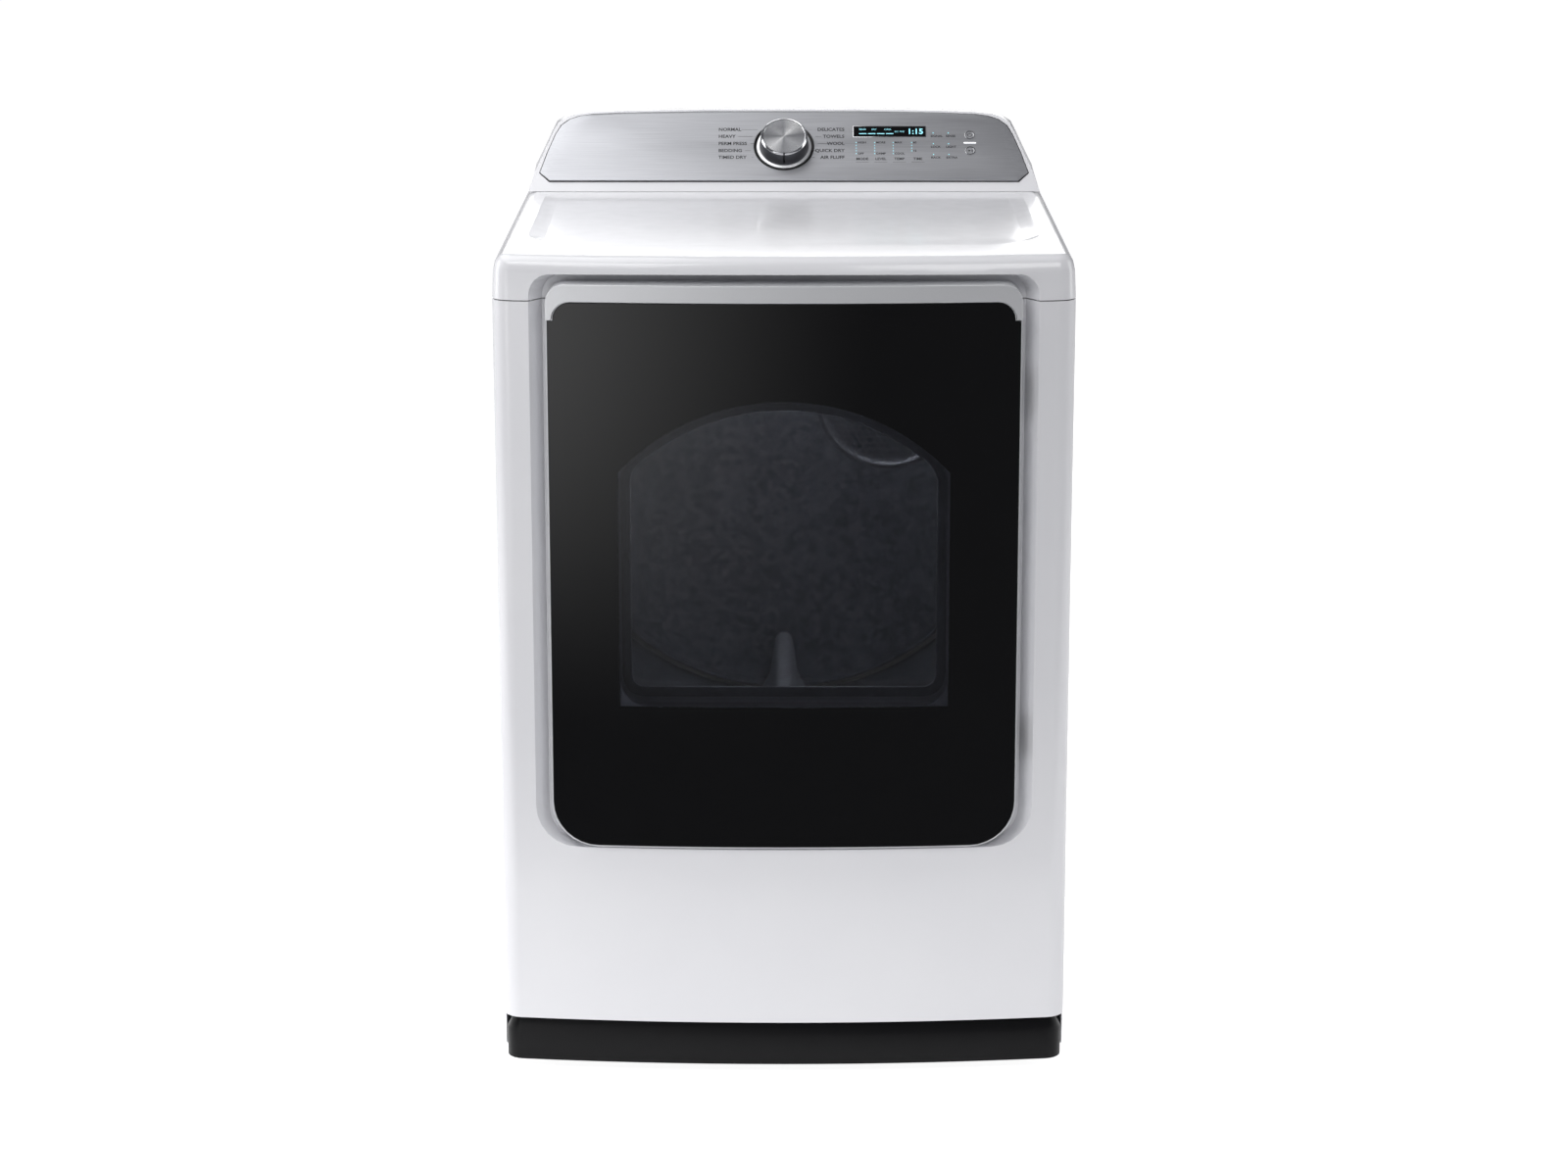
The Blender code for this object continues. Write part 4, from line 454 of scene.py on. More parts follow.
def spun(profile, sides=96):
    """Turned shape about Z from (radius, height) points: one edge chain swept by spin."""
    clear_pick()
    bpy.ops.mesh.primitive_plane_add(size=0.01)
    made = bpy.context.object
    edit("VERT")
    bpy.ops.mesh.delete(type="VERT")
    mesh = bmesh.from_edit_mesh(made.data)
    row = [mesh.verts.new((r, 0, h)) for r, h in profile]
    for a, b in zip(row, row[1:]):
        mesh.edges.new((a, b))
    for v in mesh.verts:
        v.select_set(True)
    bmesh.update_edit_mesh(made.data)
    bpy.ops.mesh.select_all(action="SELECT")
    bpy.ops.mesh.spin(steps=sides, angle=2 * math.pi, center=(0, 0, 0), axis=(0, 0, 1))
    bpy.ops.mesh.select_all(action="SELECT")
    bpy.ops.mesh.remove_doubles(threshold=1e-6)
    bpy.ops.mesh.normals_make_consistent(inside=False)
    bpy.ops.object.mode_set(mode="OBJECT")
    return made


def copy_to(obj, *places):
    """Copies of a piece, each with its own mesh, moved by the given steps and joined with it."""
    family = [obj]
    for step in places:
        twin = obj.copy()
        twin.data = obj.data.copy()
        bpy.context.collection.objects.link(twin)
        twin.location = obj.location + Vector(step)
        family.append(twin)
    return merge(family)


# ---------------------------------------------------------------- the console's face
FACE_TILT = math.radians(45)
FACE_FOOT = Vector((0, 0.218, 1.020))     # middle of the face's lower edge
FACE = Matrix.Translation(FACE_FOOT) @ Matrix.Rotation(math.pi / 2 - FACE_TILT, 4, "X")
KNOB_RISE = 0.0559
FASCIA_DEPTH = 0.0025


def on_face(obj):
    """Puts a piece made in the face's plane (X across, Y up the slope, Z out) onto the console."""
    apply_all(obj)
    obj.data.transform(FACE)
    return obj


def face_print(words, x, rise, size, align="LEFT", lift=0.00006, bold=0.0):
    """Printed lettering on the face, as thin as screen ink."""
    clear_pick()
    bpy.ops.object.text_add(location=(x, rise, lift))
    made = bpy.context.object
    made.data.body = words
    made.data.size = size
    made.data.align_x = align
    made.data.align_y = "CENTER"
    made.data.extrude = 0.00002
    made.data.offset = bold
    made.data.resolution_u = 3
    bpy.ops.object.convert(target="MESH")
    return bpy.context.object


def face_bar(x0, x1, rise0, rise1, lift=0.0001):
    """A thin printed bar or lens on the face."""
    return slab((x0, rise0, -0.00002), (x1, rise1, lift), 0.00002, 1)


def outline_row(inset_foot, inset_top):
    """Rim of the face from its right foot round the top to the left foot."""
    side = [(0.3060, 0.0), (0.3195, 0.0137), (0.3100, 0.0487), (0.3005, 0.0778), (0.2935, 0.0920),
            (0.2825, 0.1020), (0.2695, 0.1076), (0.2510, 0.1108), (0.2070, 0.1130), (0.1000, 0.1152)]
    share = [0.0, 1.0, 1.0, 0.9, 0.75, 0.55, 0.3, 0.15, 0.0, 0.0]
    row = []
    for (x, rise), pull in zip(side, share):
        top = inset_top if rise > 0.09 else 0.0
        row.append((x - inset_foot * pull - 0.35 * top * (0.2 < x < 0.3), rise - top))
    return [(-x, v) for x, v in row[::-1]] + row


def fascia():
    """Brushed plate with a wide dark facet down each side, holes for knob, display and keys."""
    clear_pick()
    bpy.ops.mesh.primitive_circle_add(vertices=20, radius=0.1, fill_type="NGON")
    plate = bpy.context.object
    edit("VERT")
    mesh = bmesh.from_edit_mesh(plate.data)
    mesh.verts.ensure_lookup_table()
    order = [v for v in mesh.faces[:][0].verts]
    rim = outline_row(0, 0)
    for v, (x, rise) in zip(order, rim):
        v.co = (x, rise, -FASCIA_DEPTH)
    bmesh.update_edit_mesh(plate.data)
    bpy.ops.mesh.select_mode(type="FACE")
    bpy.ops.mesh.select_all(action="SELECT")
    bpy.ops.mesh.extrude_region_move(TRANSFORM_OT_translate={"value": (0, 0, 0.0010)})
    bpy.ops.mesh.extrude_region_move(TRANSFORM_OT_translate={"value": (0, 0, 0.0015)})
    mesh = bmesh.from_edit_mesh(plate.data)
    inner = outline_row(0.014, 0.003)
    front = [f for f in mesh.faces if f.select][0]
    for v in front.verts:
        near = min(range(len(rim)), key=lambda i: (v.co.x - rim[i][0]) ** 2 + (v.co.y - rim[i][1]) ** 2)
        v.co.x, v.co.y = inner[near]
    bmesh.update_edit_mesh(plate.data)
    bpy.ops.mesh.select_all(action="SELECT")
    bpy.ops.mesh.normals_make_consistent(inside=False)
    bpy.ops.object.mode_set(mode="OBJECT")
    carve(plate, disc(0.0400, 0.02, (0, KNOB_RISE, 0.01), (0, 0, 1), 72))
    carve(plate, slab((0.0916, 0.0715, -0.01), (0.1867, 0.0888, 0.01)))
    for rise in (0.0746, 0.0486):
        carve(plate, disc(0.0073, 0.02, (0.2446, rise, 0.01), (0, 0, 1), 40))
    on_face(plate)
    settle(plate, "console_face_plate", "cabinet", brushed, 20)
    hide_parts("console_fascia")


def knob():
    """Spun aluminium cap with a polished chamfer over a dark grip, on its flat skirt."""
    r, h = 0.0306, 0.0225
    grip = spun([(0, -0.0255), (0.0058, -0.0255), (0.0058, -0.0021), (0.0357, -0.0021),
                 (0.0358, -0.0016), (0.0357, 0.0002), (0.0350, 0.0006), (r + 0.0018, 0.0010),
                 (r + 0.0014, 0.0016), (r + 0.0004, h * 0.55), (r, h - 0.0022),
                 (r - 0.0002, h - 0.0018), (r - 0.0022, h - 0.0001), (r - 0.0030, h - 0.0004),
                 (r - 0.0036, h - 0.0010), (0, h - 0.0012)])
    notch = slab((-0.0010, -r - 0.01, 0.004), (0.0010, -r + 0.0035, h + 0.01), 0.0004)
    carve(grip, notch)
    grip.location = (0, KNOB_RISE, 0)
    on_face(grip)
    settle(grip, "knob_cap", "knob", None, 25)
    grip.data.materials.clear()
    for finish in (spun_face, polished, knob_wall, silver_paint):
        grip.data.materials.append(finish)
    back = FACE.inverted()
    for face in grip.data.polygons:
        c = back @ face.center
        out = back.to_3x3() @ face.normal
        reach = math.hypot(c.x, c.y - KNOB_RISE)
        if out.z > 0.9 and c.z > h - 0.002:
            face.material_index = 0
        elif c.z > h - 0.0025:
            face.material_index = 1
        elif c.z > 0.0009 and reach < r + 0.0030:
            face.material_index = 2
        else:
            face.material_index = 3
    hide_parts("cycle_knob")


def knob_groove_shade():
    """Black ring in the face plate's hole, round the skirt: painted shade of the groove between the skirt
    and the plate.
    """
    ring = spun([(0.0363, -0.0024), (0.0398, -0.0024), (0.0398, -0.0003), (0.0392, 0.0002),
                 (0.0370, -0.0008), (0.0363, -0.0012), (0.0363, -0.0024)])
    ring.location = (0, KNOB_RISE, 0)
    on_face(ring)
    settle(ring, "knob_groove_shade_ring", "cabinet", matt_black, 25)


def fascia_gap_shade():
    """Thin black sheet under the plate's edge: painted shade of the gap between the plate and the housing.
    """
    clear_pick()
    bpy.ops.mesh.primitive_circle_add(vertices=20, radius=0.1, fill_type="NGON")
    gap_shade_sheet = bpy.context.object
    edit("FACE")
    mesh = bmesh.from_edit_mesh(gap_shade_sheet.data)
    rim = outline_row(0, 0)
    middle = Vector((0, 0.058))
    for v, (x, rise) in zip(list(mesh.faces[:][0].verts), rim):
        out = (Vector((x, rise)) - middle)
        v.co = (x + math.copysign(0.0013, x) * (abs(x) > 0.2), rise + (0.0012 if out.y > 0.03 else
                -0.0012 if rise < 0.005 else 0), -FASCIA_DEPTH - 0.00028)
    bmesh.update_edit_mesh(gap_shade_sheet.data)
    bpy.ops.mesh.select_all(action="SELECT")
    bpy.ops.mesh.extrude_region_move(TRANSFORM_OT_translate={"value": (0, 0, 0.00026)})
    bpy.ops.object.mode_set(mode="OBJECT")
    carve(gap_shade_sheet, disc(0.0385, 0.02, (0, KNOB_RISE, 0.01), (0, 0, 1), 48))
    carve(gap_shade_sheet, slab((0.0930, 0.0730, -0.01), (0.1850, 0.0870, 0.01)))
    for rise in (0.0746, 0.0486):
        carve(gap_shade_sheet, disc(0.0078, 0.02, (0.2446, rise, 0.01), (0, 0, 1), 24))
    on_face(gap_shade_sheet)
    settle(gap_shade_sheet, "face_plate_gap_shade", "cabinet", matt_black, 25)


def legends():
    """Course names on both sides of the knob, their leader lines, and the key names."""
    rises = (0.0835, 0.0720, 0.0602, 0.0485, 0.0374)
    left = ("NORMAL", "HEAVY", "PERM PRESS", "BEDDING", "TIMED DRY")
    right = ("DELICATES", "TOWELS", "WOOL", "QUICK DRY", "AIR FLUFF")
    left_edge, right_edge, tall, letter = -0.0862, 0.0795, 0.0072, 0.0047
    ring, line = 0.0435, 0.0002
    made = []
    for words, rise in zip(left, rises):
        made.append(face_print(words, left_edge, rise, tall, bold=0.00015))
        stop = -math.sqrt(max(ring ** 2 - (rise - KNOB_RISE) ** 2, 0)) - 0.001
        made.append(face_bar(left_edge + letter * len(words) + 0.002, stop, rise - line, rise + line))
    for words, rise in zip(right, rises):
        made.append(face_print(words, right_edge, rise, tall, "RIGHT", bold=0.00015))
        stop = math.sqrt(max(ring ** 2 - (rise - KNOB_RISE) ** 2, 0)) + 0.001
        made.append(face_bar(stop, right_edge - letter * len(words) - 0.002, rise - line, rise + line))
    for x, words in ((0.1028, "MODE"), (0.1271, "LEVEL"), (0.1514, "TEMP"), (0.1757, "TIME")):
        made.append(face_print(words, x, 0.0349, 0.0056, "CENTER", bold=0.0001))
        made.append(face_bar(x - 0.0085, x + 0.0085, 0.0296, 0.0299))
    for i, words in enumerate(("SIGNAL", "LOCK", "RACK")):
        rise = 0.0778 - 0.0178 * i
        made.append(face_print(words, 0.1930, rise - 0.0052, 0.0048, bold=0.0001))
        made.append(face_print(("SENSE", "LIGHT", "EXTRA")[i], 0.2130, rise - 0.0052, 0.0048,
                               bold=0.0001))
    ink_piece = on_face(merge(made))
    settle(ink_piece, "printed_legends", "cabinet", ink, 20, outward=False)

    lamps = []
    for x, top in ((0.0950, 5), (0.1193, 5), (0.1436, 5), (0.1679, 4)):
        for i in range(top):
            lamps.append(disc(0.0006, 0.0004, (x, 0.0620 - 0.0046 * i, 0.0003), (0, 0, 1), 12, 0.0001))
    for x in (0.1965, 0.2165):
        for i in range(3):
            lamps.append(disc(0.0007, 0.0004, (x, 0.0778 - 0.0178 * i, 0.0003), (0, 0, 1), 12, 0.0001))
    lens = on_face(merge(lamps))
    settle(lens, "cycle_lamps", "cabinet", lit, 30)

    names = []
    for x, words in ((0.0968, ("HIGH", "MED", "LOW", "XLOW", "OFF")),
                     (0.1211, ("MORE", "DRY", "NORMAL", "LESS", "DAMP")),
                     (0.1454, ("MAX", "HIGH", "MID", "LOW", "COOL")),
                     (0.1697, ("60", "45", "30", "15"))):
        for i, word in enumerate(words):
            if i in (0, len(words) - 1):
                names.append(face_print(word, x, 0.0620 - 0.0046 * i, 0.0046, bold=0.0001))
    text = on_face(merge(names))
    settle(text, "printed_option_names", "cabinet", ink, 20, outward=False)


def display():
    """Lit digits and marks on the display's black window."""
    made = [face_print("1:15", 0.1838, 0.0801, 0.0125, "RIGHT", 0.00005, 0.0002)]
    for i, word in enumerate(("SENSE", "DRY", "COOL")):
        made.append(face_print(word, 0.0990 + 0.0165 * i, 0.0838, 0.0034, lift=0.00005))
    for i in range(4):
        made.append(face_bar(0.0990 + 0.0118 * i, 0.1088 + 0.0118 * i, 0.0762, 0.0774, 0.0001))
    made.append(face_print("EST. TIME", 0.1460, 0.0801, 0.0030, lift=0.00005))
    marks = on_face(merge(made))
    settle(marks, "display_segments", "cabinet", lit, 20, outward=False)
    low, high = (0.0916, 0.0715), (0.1867, 0.0888)
    rim = slab((low[0] - 0.0007, low[1] - 0.0007, -0.0004), (high[0] + 0.0007, high[1] + 0.0007, 0.0003),
               0.00015, 2)
    carve(rim, slab((low[0] + 0.0004, low[1] + 0.0004, -0.01), (high[0] - 0.0004, high[1] - 0.0004, 0.01)))
    on_face(rim)
    settle(rim, "display_bezel", "cabinet", polished, 25)


def key_marks():
    """Symbols and trims of the power and start keys, which travel with their keys."""
    for name, body, rise in (("power", "power_key", 0.0746), ("start", "start_key", 0.0486)):
        ring = spun([(0.0052, 0.00005), (0.0066, 0.00005), (0.0066, 0.00018), (0.0062, 0.00030),
                     (0.0056, 0.00030), (0.0052, 0.00018), (0.0052, 0.00005)], 48)
        ring.location = (0.2446, rise, 0)
        on_face(ring)
        settle(ring, name + "_key_ring", body, polished, 30)
    arc = spun([(0.0024, 0.00005), (0.0030, 0.00005), (0.0030, 0.00014), (0.0024, 0.00014),
                (0.0024, 0.00005)], 36)
    carve(arc, slab((-0.0008, 0.0010, -0.01), (0.0008, 0.0050, 0.01)))
    arc = merge([arc, slab((-0.0003, 0.0008, 0.00005), (0.0003, 0.0036, 0.00014), 0.00003, 1)])
    apply_all(arc)
    arc.location = (0.2446, 0.0746, 0)
    on_face(arc)
    settle(arc, "power_symbol", "power_key", ink, 30)
    clear_pick()
    bpy.ops.mesh.primitive_circle_add(vertices=3, radius=0.0020, fill_type="NGON",
                                      location=(0.2436, 0.0486, 0.00005),
                                      rotation=(0, 0, -math.pi / 2))
    arrow = bpy.context.object
    edit()
    bpy.ops.mesh.select_all(action="SELECT")
    bpy.ops.mesh.extrude_region_move(TRANSFORM_OT_translate={"value": (0, 0, 0.0001)})
    bpy.ops.object.mode_set(mode="OBJECT")
    bars = [slab((0.2466 + i * 0.0012, 0.0470, 0.00005), (0.2472 + i * 0.0012, 0.0502, 0.00014),
                 0.00003, 1) for i in range(2)]
    arrow = on_face(merge([arrow] + bars))
    settle(arrow, "start_symbol", "start_key", ink, 30)
    bar = slab((0.2366, 0.0607, -0.0001), (0.2526, 0.0625, 0.0003), 0.0002, 2)
    on_face(bar)
    settle(bar, "start_lamp_bar", "cabinet", lit_white, 30)


fascia()
knob()
knob_groove_shade()
fascia_gap_shade()
legends()
display()
key_marks()


# ---------------------------------------------------------------- softened copies of pieces
def soften(node, name, body, material, width, segments=3, angle=35, smooth=35):
    """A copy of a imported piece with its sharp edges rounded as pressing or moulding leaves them."""
    clear_pick()
    twin = nodes[node].copy()
    twin.data = nodes[node].data.copy()
    twin.parent = None
    twin.matrix_world = Matrix.Identity(4)
    bpy.context.collection.objects.link(twin)
    for key in list(twin.keys()):
        del twin[key]
    twin.select_set(True)
    bpy.context.view_layer.objects.active = twin
    if twin.data.has_custom_normals:
        bpy.ops.mesh.customdata_custom_splitnormals_clear()
    edit()
    bpy.ops.mesh.select_all(action="SELECT")
    bpy.ops.mesh.remove_doubles(threshold=1e-5)
    bpy.ops.mesh.dissolve_limited(angle_limit=math.radians(0.5))
    bpy.ops.object.mode_set(mode="OBJECT")
    round_off = twin.modifiers.new("round_off", "BEVEL")
    round_off.width, round_off.segments = width, segments
    round_off.limit_method, round_off.angle_limit = "ANGLE", math.radians(angle)
    round_off.harden_normals = False
    settle(twin, name, body, material, smooth, outward=False)
    even = twin.modifiers.new("even", "WEIGHTED_NORMAL")
    even.weight, even.keep_sharp = 100, True
    clear_pick()
    twin.select_set(True)
    bpy.context.view_layer.objects.active = twin
    bpy.ops.object.modifier_apply(modifier=even.name)
    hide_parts(node)
    return twin


def perforated_inlet():
    """Hot-air inlet: a pressed disc with staggered hexagonal holes, 7 mm across on a 9.5 mm pitch."""
    low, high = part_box("inlet_grille")
    cx, cz = (low.x + high.x) / 2, (low.z + high.z) / 2
    radius = (high.x - low.x) / 2
    pitch = 9.5 * MM
    cell = pitch / math.sqrt(3)
    clear_pick()
    bpy.ops.mesh.primitive_circle_add(vertices=6, radius=cell, fill_type="NGON")
    first = bpy.context.object
    spots = []
    reach = int(radius / pitch) + 2
    for row in range(-reach, reach + 1):
        for column in range(-reach, reach + 1):
            x = (column + 0.5 * (row % 2)) * pitch
            z = row * pitch * math.sqrt(3) / 2
            if math.hypot(x, z) < radius - 0.012 and (row or column):
                spots.append((x, z, 0))
    field = copy_to(first, *spots)
    edit()
    bpy.ops.mesh.select_all(action="SELECT")
    bpy.ops.mesh.remove_doubles(threshold=2e-5)
    bpy.ops.mesh.select_all(action="SELECT")
    bpy.ops.mesh.inset(thickness=1.25 * MM, use_individual=True)
    bpy.ops.mesh.delete(type="FACE")
    bpy.ops.object.mode_set(mode="OBJECT")
    wall = field.modifiers.new("wall", "SOLIDIFY")
    wall.thickness, wall.offset = 1.0 * MM, 0
    apply_all(field)
    rim = spun([(radius - 0.0145, -0.0005), (radius - 0.0100, -0.0005), (radius - 0.0070, 0.0010),
                (radius - 0.0045, 0.0010), (radius - 0.0020, -0.0002), (radius, -0.0004),
                (radius, -0.0012), (radius - 0.0016, -0.0012), (radius - 0.0045, 0.0001),
                (radius - 0.0070, 0.0001), (radius - 0.0095, -0.0013), (radius - 0.0145, -0.0013),
                (radius - 0.0145, -0.0005)], 72)
    rim.data.transform(Matrix.Rotation(math.pi / 2, 4, "X"))
    field.data.transform(Matrix.Rotation(math.pi / 2, 4, "X"))
    grille = merge([field, rim])
    grille.location = (cx, (low.y + high.y) / 2 - 0.0002, cz)
    settle(grille, "perforated_inlet", "cabinet", bright_perforation, 30,
           outward=False)
    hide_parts("inlet_grille")


def hex_screw(at, facing, radius=0.0042):
    """Hex-head screw with its washer flange."""
    clear_pick()
    turn = Vector(facing).to_track_quat("Z", "Y").to_euler()
    bpy.ops.mesh.primitive_cylinder_add(vertices=6, radius=radius, depth=0.0022,
                                        location=Vector(at) + Vector(facing) * 0.0019, rotation=turn)
    head = bpy.context.object
    edit()
    pick(faces=lambda f: f.normal.z > 0.9)
    bpy.ops.mesh.inset(thickness=radius * 0.18)
    bpy.ops.mesh.inset(thickness=radius * 0.25, depth=-0.0007)
    bpy.ops.object.mode_set(mode="OBJECT")
    flange = disc(radius * 1.4, 0.0009, Vector(at) + Vector(facing) * 0.0009, facing, 20, 0.0003)
    return merge([head, flange])


def screws(name, body, spots, facing, radius=0.0042, finish=None):
    """A set of equal screws: one modelled, the rest copied."""
    first = hex_screw(spots[0], facing, radius)
    steps = [tuple(Vector(s) - Vector(spots[0])) for s in spots[1:]]
    kit = copy_to(first, *steps)
    settle(kit, name, body, finish or steel, 30, outward=False)


def rear_details():
    """Stamped ribs and screws on the back, screws on the terminal lid; beads on the outlet stub."""
    low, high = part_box("rear_panel")
    y = high.y
    ribs = []
    for x in (-0.20, 0.0, 0.20):
        rib = slab((x - 0.007, y - 0.0012, 0.30), (x + 0.007, y + 0.0014, 0.70), 0.0012, 3)
        ribs.append(rib)
    for z in (0.905, 0.262):
        ribs.append(slab((-0.16, y - 0.0012, z - 0.006), (0.24, y + 0.0014, z + 0.006), 0.0012, 3))
    settle(merge(ribs), "rear_panel_ribs", "cabinet", galvanised, 30, outward=False)
    spots = [(x, y, z) for x in (low.x + 0.012, high.x - 0.012) for z in
             (low.z + 0.03, 0.28, 0.50, 0.72, high.z - 0.02)]
    spots += [(x, y, high.z - 0.012) for x in (-0.18, 0.0, 0.18)]
    screws("rear_panel_screws", "cabinet", spots, (0, 1, 0))
    low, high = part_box("terminal_cover")
    middle = (low.x + high.x) / 2
    screws("terminal_lid_screws", "cabinet",
           [(middle, high.y, low.z + 0.012), (middle, high.y, high.z - 0.012)], (0, 1, 0))
    low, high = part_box("exhaust_duct")
    beads = []
    for back in (0.006, 0.026):
        bead = spun([(0.0512, -0.0025), (0.0524, -0.0012), (0.0528, 0), (0.0524, 0.0012),
                     (0.0512, 0.0025), (0.0508, 0), (0.0512, -0.0025)], 64)
        bead.data.transform(Matrix.Rotation(math.pi / 2, 4, "X"))
        bead.location = (-0.105, high.y - back, 0.085)
        beads.append(bead)
    settle(merge(beads), "outlet_beads", "cabinet", galvanised, 40, outward=False)


def side_screws():
    """Screws that hold the side panels to the rear panel."""
    for word, side in (("left", -1), ("right", 1)):
        low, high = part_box("side_panel_" + word)
        x = high.x if side > 0 else low.x
        spots = [(x, high.y - 0.012, z) for z in (0.12, 0.34, 0.62, 0.90)]
        screws(f"side_screws_{word}", "cabinet", spots, (side, 0, 0), 0.0030)


def drum_details():
    """Rolled beads round the drum."""
    low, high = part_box("drum_shell")
    cx, cz = 0.0, (low.z + high.z) / 2
    r = (high.x - low.x) / 2
    beads = []
    for y in (low.y + 0.11, low.y + 0.24, low.y + 0.31, high.y - 0.10):
        bead = spun([(r - 0.0004, -0.006), (r + 0.0012, -0.004), (r + 0.0020, 0), (r + 0.0012, 0.004),
                     (r - 0.0004, 0.006), (r - 0.0012, 0), (r - 0.0004, -0.006)], 96)
        bead.data.transform(Matrix.Rotation(math.pi / 2, 4, "X"))
        bead.location = (cx, y, cz)
        beads.append(bead)
    settle(merge(beads), "drum_beads", "drum", galvanised, 40, outward=False)


def liner_screws():
    """Screws round the back of the door, sunk in its liner."""
    low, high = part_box("door_inner_panel")
    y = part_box("door_seal")[0].y
    spots = []
    for z in (low.z + 0.040, 0.42, 0.60, 0.78, high.z - 0.030):
        spots += [(low.x + 0.014, y, z), (high.x - 0.040 if 0.4 < z < 0.46 or 0.8 < z < 0.86 else
                                          high.x - 0.014, y, z)]
    spots += [(x, y, low.z + 0.016) for x in (-0.16, 0.0, 0.16)]
    screws("door_liner_screws", "door", spots, (0, 1, 0), 0.0030)


def filter_mesh():
    """Woven screen in the lint filter's frame, its 1.5 mm mesh drawn at 5 mm."""
    low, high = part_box("lint_filter")
    y = (low.y + high.y) / 2
    wires = [slab((low.x + 0.006, y - 0.0004, low.z + 0.006), (low.x + 0.0066, y + 0.0004, high.z - 0.012),
                  0.0001, 1)]
    steps = int((high.x - low.x - 0.012) / 0.005)
    upright = copy_to(wires[0], *[(0.005 * i, 0, 0) for i in range(1, steps + 1)])
    bar = slab((low.x + 0.004, y - 0.0004, low.z + 0.008), (high.x - 0.004, y + 0.0004, low.z + 0.0086),
               0.0001, 1)
    rows = int((high.z - low.z - 0.022) / 0.005)
    level = copy_to(bar, *[(0, 0, 0.005 * i) for i in range(1, rows + 1)])
    settle(merge([upright, level]), "lint_screen", "filter", matt_black, 30,
           outward=False)


def motor_details():
    """Ribs round both ends of the drive motor, and its through-bolts."""
    low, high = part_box("drive_motor")
    cx, cz = 0.075, 0.125
    bolts = []
    for i in range(4):
        a = math.radians(45 + 90 * i)
        bolts.append((cx + 0.050 * math.cos(a), high.y - 0.0005, cz + 0.050 * math.sin(a)))
    screws("motor_bolts", "cabinet", bolts, (0, 1, 0), 0.0035)
    bands = []
    for y in (low.y + 0.020, high.y - 0.020):
        band = spun([(0.0618, -0.004), (0.0632, -0.003), (0.0632, 0.003), (0.0618, 0.004),
                     (0.0610, 0), (0.0618, -0.004)], 48)
        band.data.transform(Matrix.Rotation(math.pi / 2, 4, "X"))
        band.location = (cx, y, cz)
        bands.append(band)
    settle(merge(bands), "motor_bands", "cabinet", steel, 40, outward=False)


soften("door_handle", "handle_bar", "door", silver_paint, 0.0009)
soften("door_glass", "door_pane", "door", printed_glass, 0.0006)
soften("door_frame", "door_surround", "door", silver_paint, 0.0004, 2)
soften("kick_plate", "toe_kick", "cabinet", black_paint, 0.0008)
soften("door_inner_panel", "door_liner", "door", abs_white, 0.0008)
soften("front_panel", "front_pressing", "cabinet", enamel, 0.0005, 2)
soften("top_panel", "top_cover", "cabinet", enamel, 0.0005, 2)
soften("console_housing", "console_shell", "cabinet", enamel, 0.0008, 3)
for number in (1, 2, 3):
    soften(f"drum_baffle_{number}", f"lifter_{number}", "drum", abs_white, 0.006, 4)
soften("blower_housing", "blower_scroll", "cabinet", grey_pp, 0.0012)
soften("lint_filter", "lint_frame", "filter", grey_pp, 0.0008)
soften("terminal_cover", "terminal_box_lid", "cabinet", galvanised, 0.0012)
perforated_inlet()
rear_details()
side_screws()
drum_details()
liner_screws()
filter_mesh()
motor_details()


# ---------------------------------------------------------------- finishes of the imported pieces
wearing = {
    enamel: ["front_panel", "top_panel", "side_panel_left", "side_panel_right", "console_housing"],
    abs_white: ["front_bulkhead", "door_inner_panel", "door_latch", "door_strike", "moisture_sensor",
                "drum_baffle_1", "drum_baffle_2", "drum_baffle_3"],
    black_paint: ["kick_plate"],
    grey_pp: ["blower_wheel", "blower_housing", "idler_pulley", "lint_filter"],
    printed_glass: ["door_glass"],
    gloss_black: ["display_window"],
    clear_glass: ["door_window", "drum_light"],
    brushed: ["console_fascia", "power_button", "start_button"],
    silver_paint: ["door_frame", "door_handle", "cycle_knob"],
    galvanised: ["rear_panel", "base_pan", "rear_bulkhead", "inlet_grille", "drum_shell",
                 "motor_bracket", "exhaust_duct", "heater_duct", "terminal_cover"],
    steel: ["motor_shaft", "idler_arm", "door_hinge_lower", "door_hinge_upper",
            "hinge_bracket_lower", "hinge_bracket_upper"],
    felt: ["front_drum_seal", "rear_drum_seal"],
    rubber: ["drive_belt", "foot_front_left", "foot_front_right", "foot_rear_left",
             "foot_rear_right", "drum_roller_front_left", "drum_roller_front_right",
             "drum_roller_rear_left", "drum_roller_rear_right"],
    silicone: ["door_seal"],
    circuit: ["control_board"],
    nichrome: ["heater_element"],
    motor_paint: ["drive_motor"],
}
for finish, names in wearing.items():
    for name in names:
        slots = nodes[name].data.materials
        if not slots:
            slots.append(finish)
        for i in range(len(slots)):
            slots[i] = finish


# ---------------------------------------------------------------- floor, light and camera
FLOOR_GLOW, FLOOR_GLOW_SEEN = 0.40, 0.90   # what the paper adds to the light, and what the camera sees
AIR_GLOW, AIR_GLOW_SEEN = 0.13, 1.0
CAMERA_PLACE = (0, -4.74, 1.669)
CAMERA_DIP = math.radians(13.58)
CAMERA_LENS = 87.3
LAMPS = (("key", (-1.6, -3.0, 4.2), (0, 0, 0.6), 2.4, 1.6, 58),
         ("front", (1.4, -3.6, 3.4), (0, 0, 0.5), 2.0, 1.4, 32),
         ("overhead", (-1.3, 0.1, 3.3), (0, 0, 0.9), 3.0, 2.2, 44),
         ("side_left", (-3.4, 0.2, 1.6), (0, 0, 0.6), 1.6, 2.2, 32),
         ("side_right", (3.4, 0.2, 1.6), (0, 0, 0.6), 1.6, 2.2, 22),
         ("behind", (0, 3.6, 2.2), (0, 0, 0.6), 2.4, 2.0, 30))
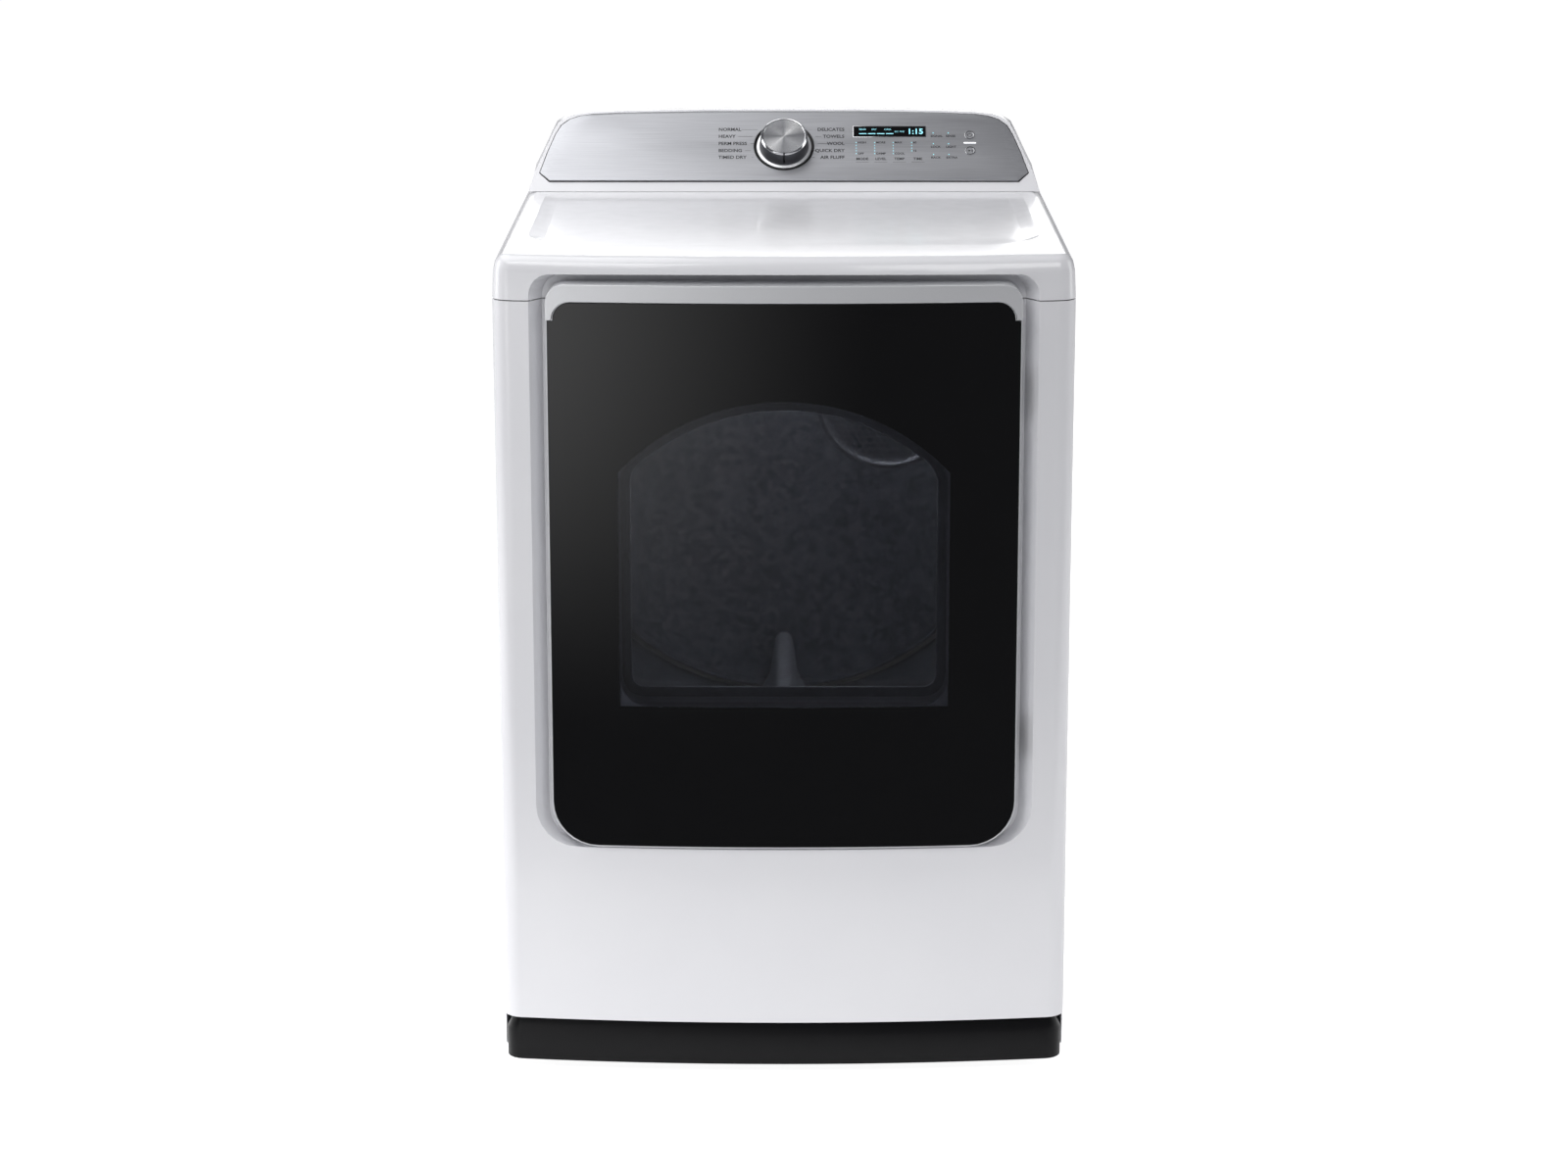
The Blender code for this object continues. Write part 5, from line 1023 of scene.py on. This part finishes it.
CARDS = (("card_left", (-1.3, -3.3, 0.5), 3.6, 1.9, 3.0),
         ("card_right", (2.2, -3.3, -0.3), 2.4, 1.4, 0.5))


def studio_floor():
    """Wide pale paper under and behind the dryer."""
    bpy.ops.mesh.primitive_plane_add(size=30, location=(0, 13.9, 0))
    floor = bpy.context.object
    floor.name = "studio_floor"
    made, t, s, p = surface("studio_paper", "FFFFFF", 0.7, Emission_Color=linear("FFFFFF"))
    seen = add(t, "ShaderNodeMapRange", {0: add(t, "ShaderNodeLightPath").outputs["Is Camera Ray"]},
               To_Min=FLOOR_GLOW, To_Max=FLOOR_GLOW_SEEN)
    t.links.new(seen.outputs[0], s.inputs["Emission Strength"])
    tint(t, s, noise(t, p, 0.5, 2.0), "FCFCFC", "FFFFFF")
    floor.data.materials.append(made)


def studio_air():
    """Air that lights softly and is seen as white."""
    world = bpy.data.worlds.new("studio_air")
    world.use_nodes = True
    air = world.node_tree
    base = air.nodes["Background"]
    base.inputs[0].default_value = (0.93, 0.94, 1.0, 1)
    base.inputs[1].default_value = AIR_GLOW
    white = add(air, "ShaderNodeBackground", Color=(1, 1, 1, 1), Strength=AIR_GLOW_SEEN)
    seen = add(air, "ShaderNodeLightPath").outputs["Is Camera Ray"]
    both = add(air, "ShaderNodeMixShader", {0: seen, 1: base.outputs[0], 2: white.outputs[0]})
    air.links.new(both.outputs[0], air.nodes["World Output"].inputs[0])
    bpy.context.scene.world = world


def studio_lamps():
    """Wide lamps round the cabinet and the small one inside the drum."""
    for name, at, aim, wide, tall, power in LAMPS:
        bpy.ops.object.light_add(type="AREA", location=at)
        lamp = bpy.context.object
        lamp.name = name
        lamp.data.shape = "RECTANGLE"
        lamp.data.size, lamp.data.size_y = wide, tall
        lamp.data.energy = power
        lamp.rotation_euler = (Vector(aim) - Vector(at)).to_track_quat("-Z", "Y").to_euler()
    bpy.ops.object.light_add(type="POINT", location=(0.10, -0.20, 0.86))
    lamp = bpy.context.object
    lamp.name = "drum_lamp"
    lamp.data.energy = 1.6
    lamp.data.shadow_soft_size = 0.02


def studio_card(name, at, wide, tall, peak):
    """A glowing card for the door to mirror, brightest at its outer edge and clear at the rest."""
    bpy.ops.mesh.primitive_plane_add(size=1, location=at, rotation=(math.pi / 2, 0, 0))
    card = bpy.context.object
    card.name = name
    card.scale = (wide, tall, 1)
    card.visible_camera = card.visible_shadow = False
    made = bpy.data.materials.new(name + "_glow")
    made.use_nodes = True
    t = made.node_tree
    t.nodes.clear()
    spot = add(t, "ShaderNodeSeparateXYZ", {0: add(t, "ShaderNodeTexCoord").outputs["Object"]})
    near, far = (-0.5, 0.5) if at[0] < 0 else (0.5, -0.5)
    across = add(t, "ShaderNodeMapRange", {0: spot.outputs[0]}, From_Min=far, From_Max=near,
                 interpolation_type="SMOOTHSTEP")
    up = add(t, "ShaderNodeMath", {0: spot.outputs[1]}, operation="ABSOLUTE")
    fade = add(t, "ShaderNodeMapRange", {0: up.outputs[0]}, From_Min=0.5, From_Max=0.0,
               interpolation_type="SMOOTHSTEP")
    both = add(t, "ShaderNodeMath", {0: across.outputs[0], 1: fade.outputs[0]}, operation="MULTIPLY")
    glow = add(t, "ShaderNodeEmission", Strength=peak)
    air_gap = add(t, "ShaderNodeBsdfTransparent")
    sheet = add(t, "ShaderNodeMixShader", {0: both.outputs[0], 1: air_gap.outputs[0],
                                           2: glow.outputs[0]})
    add(t, "ShaderNodeOutputMaterial", {"Surface": sheet.outputs[0]})
    card.data.materials.append(made)


def studio_camera():
    """A long lens a little above the console, dipped towards the door."""
    bpy.ops.object.camera_add(location=CAMERA_PLACE, rotation=(math.pi / 2 - CAMERA_DIP, 0, 0))
    camera = bpy.context.object
    camera.data.sensor_width = 36
    camera.data.lens = CAMERA_LENS
    camera.data.clip_end = 60
    bpy.context.scene.camera = camera
    bpy.context.scene.view_settings.view_transform = "Standard"


clear_pick()
studio_floor()
studio_air()
studio_lamps()
for card in CARDS:
    studio_card(*card)
studio_camera()
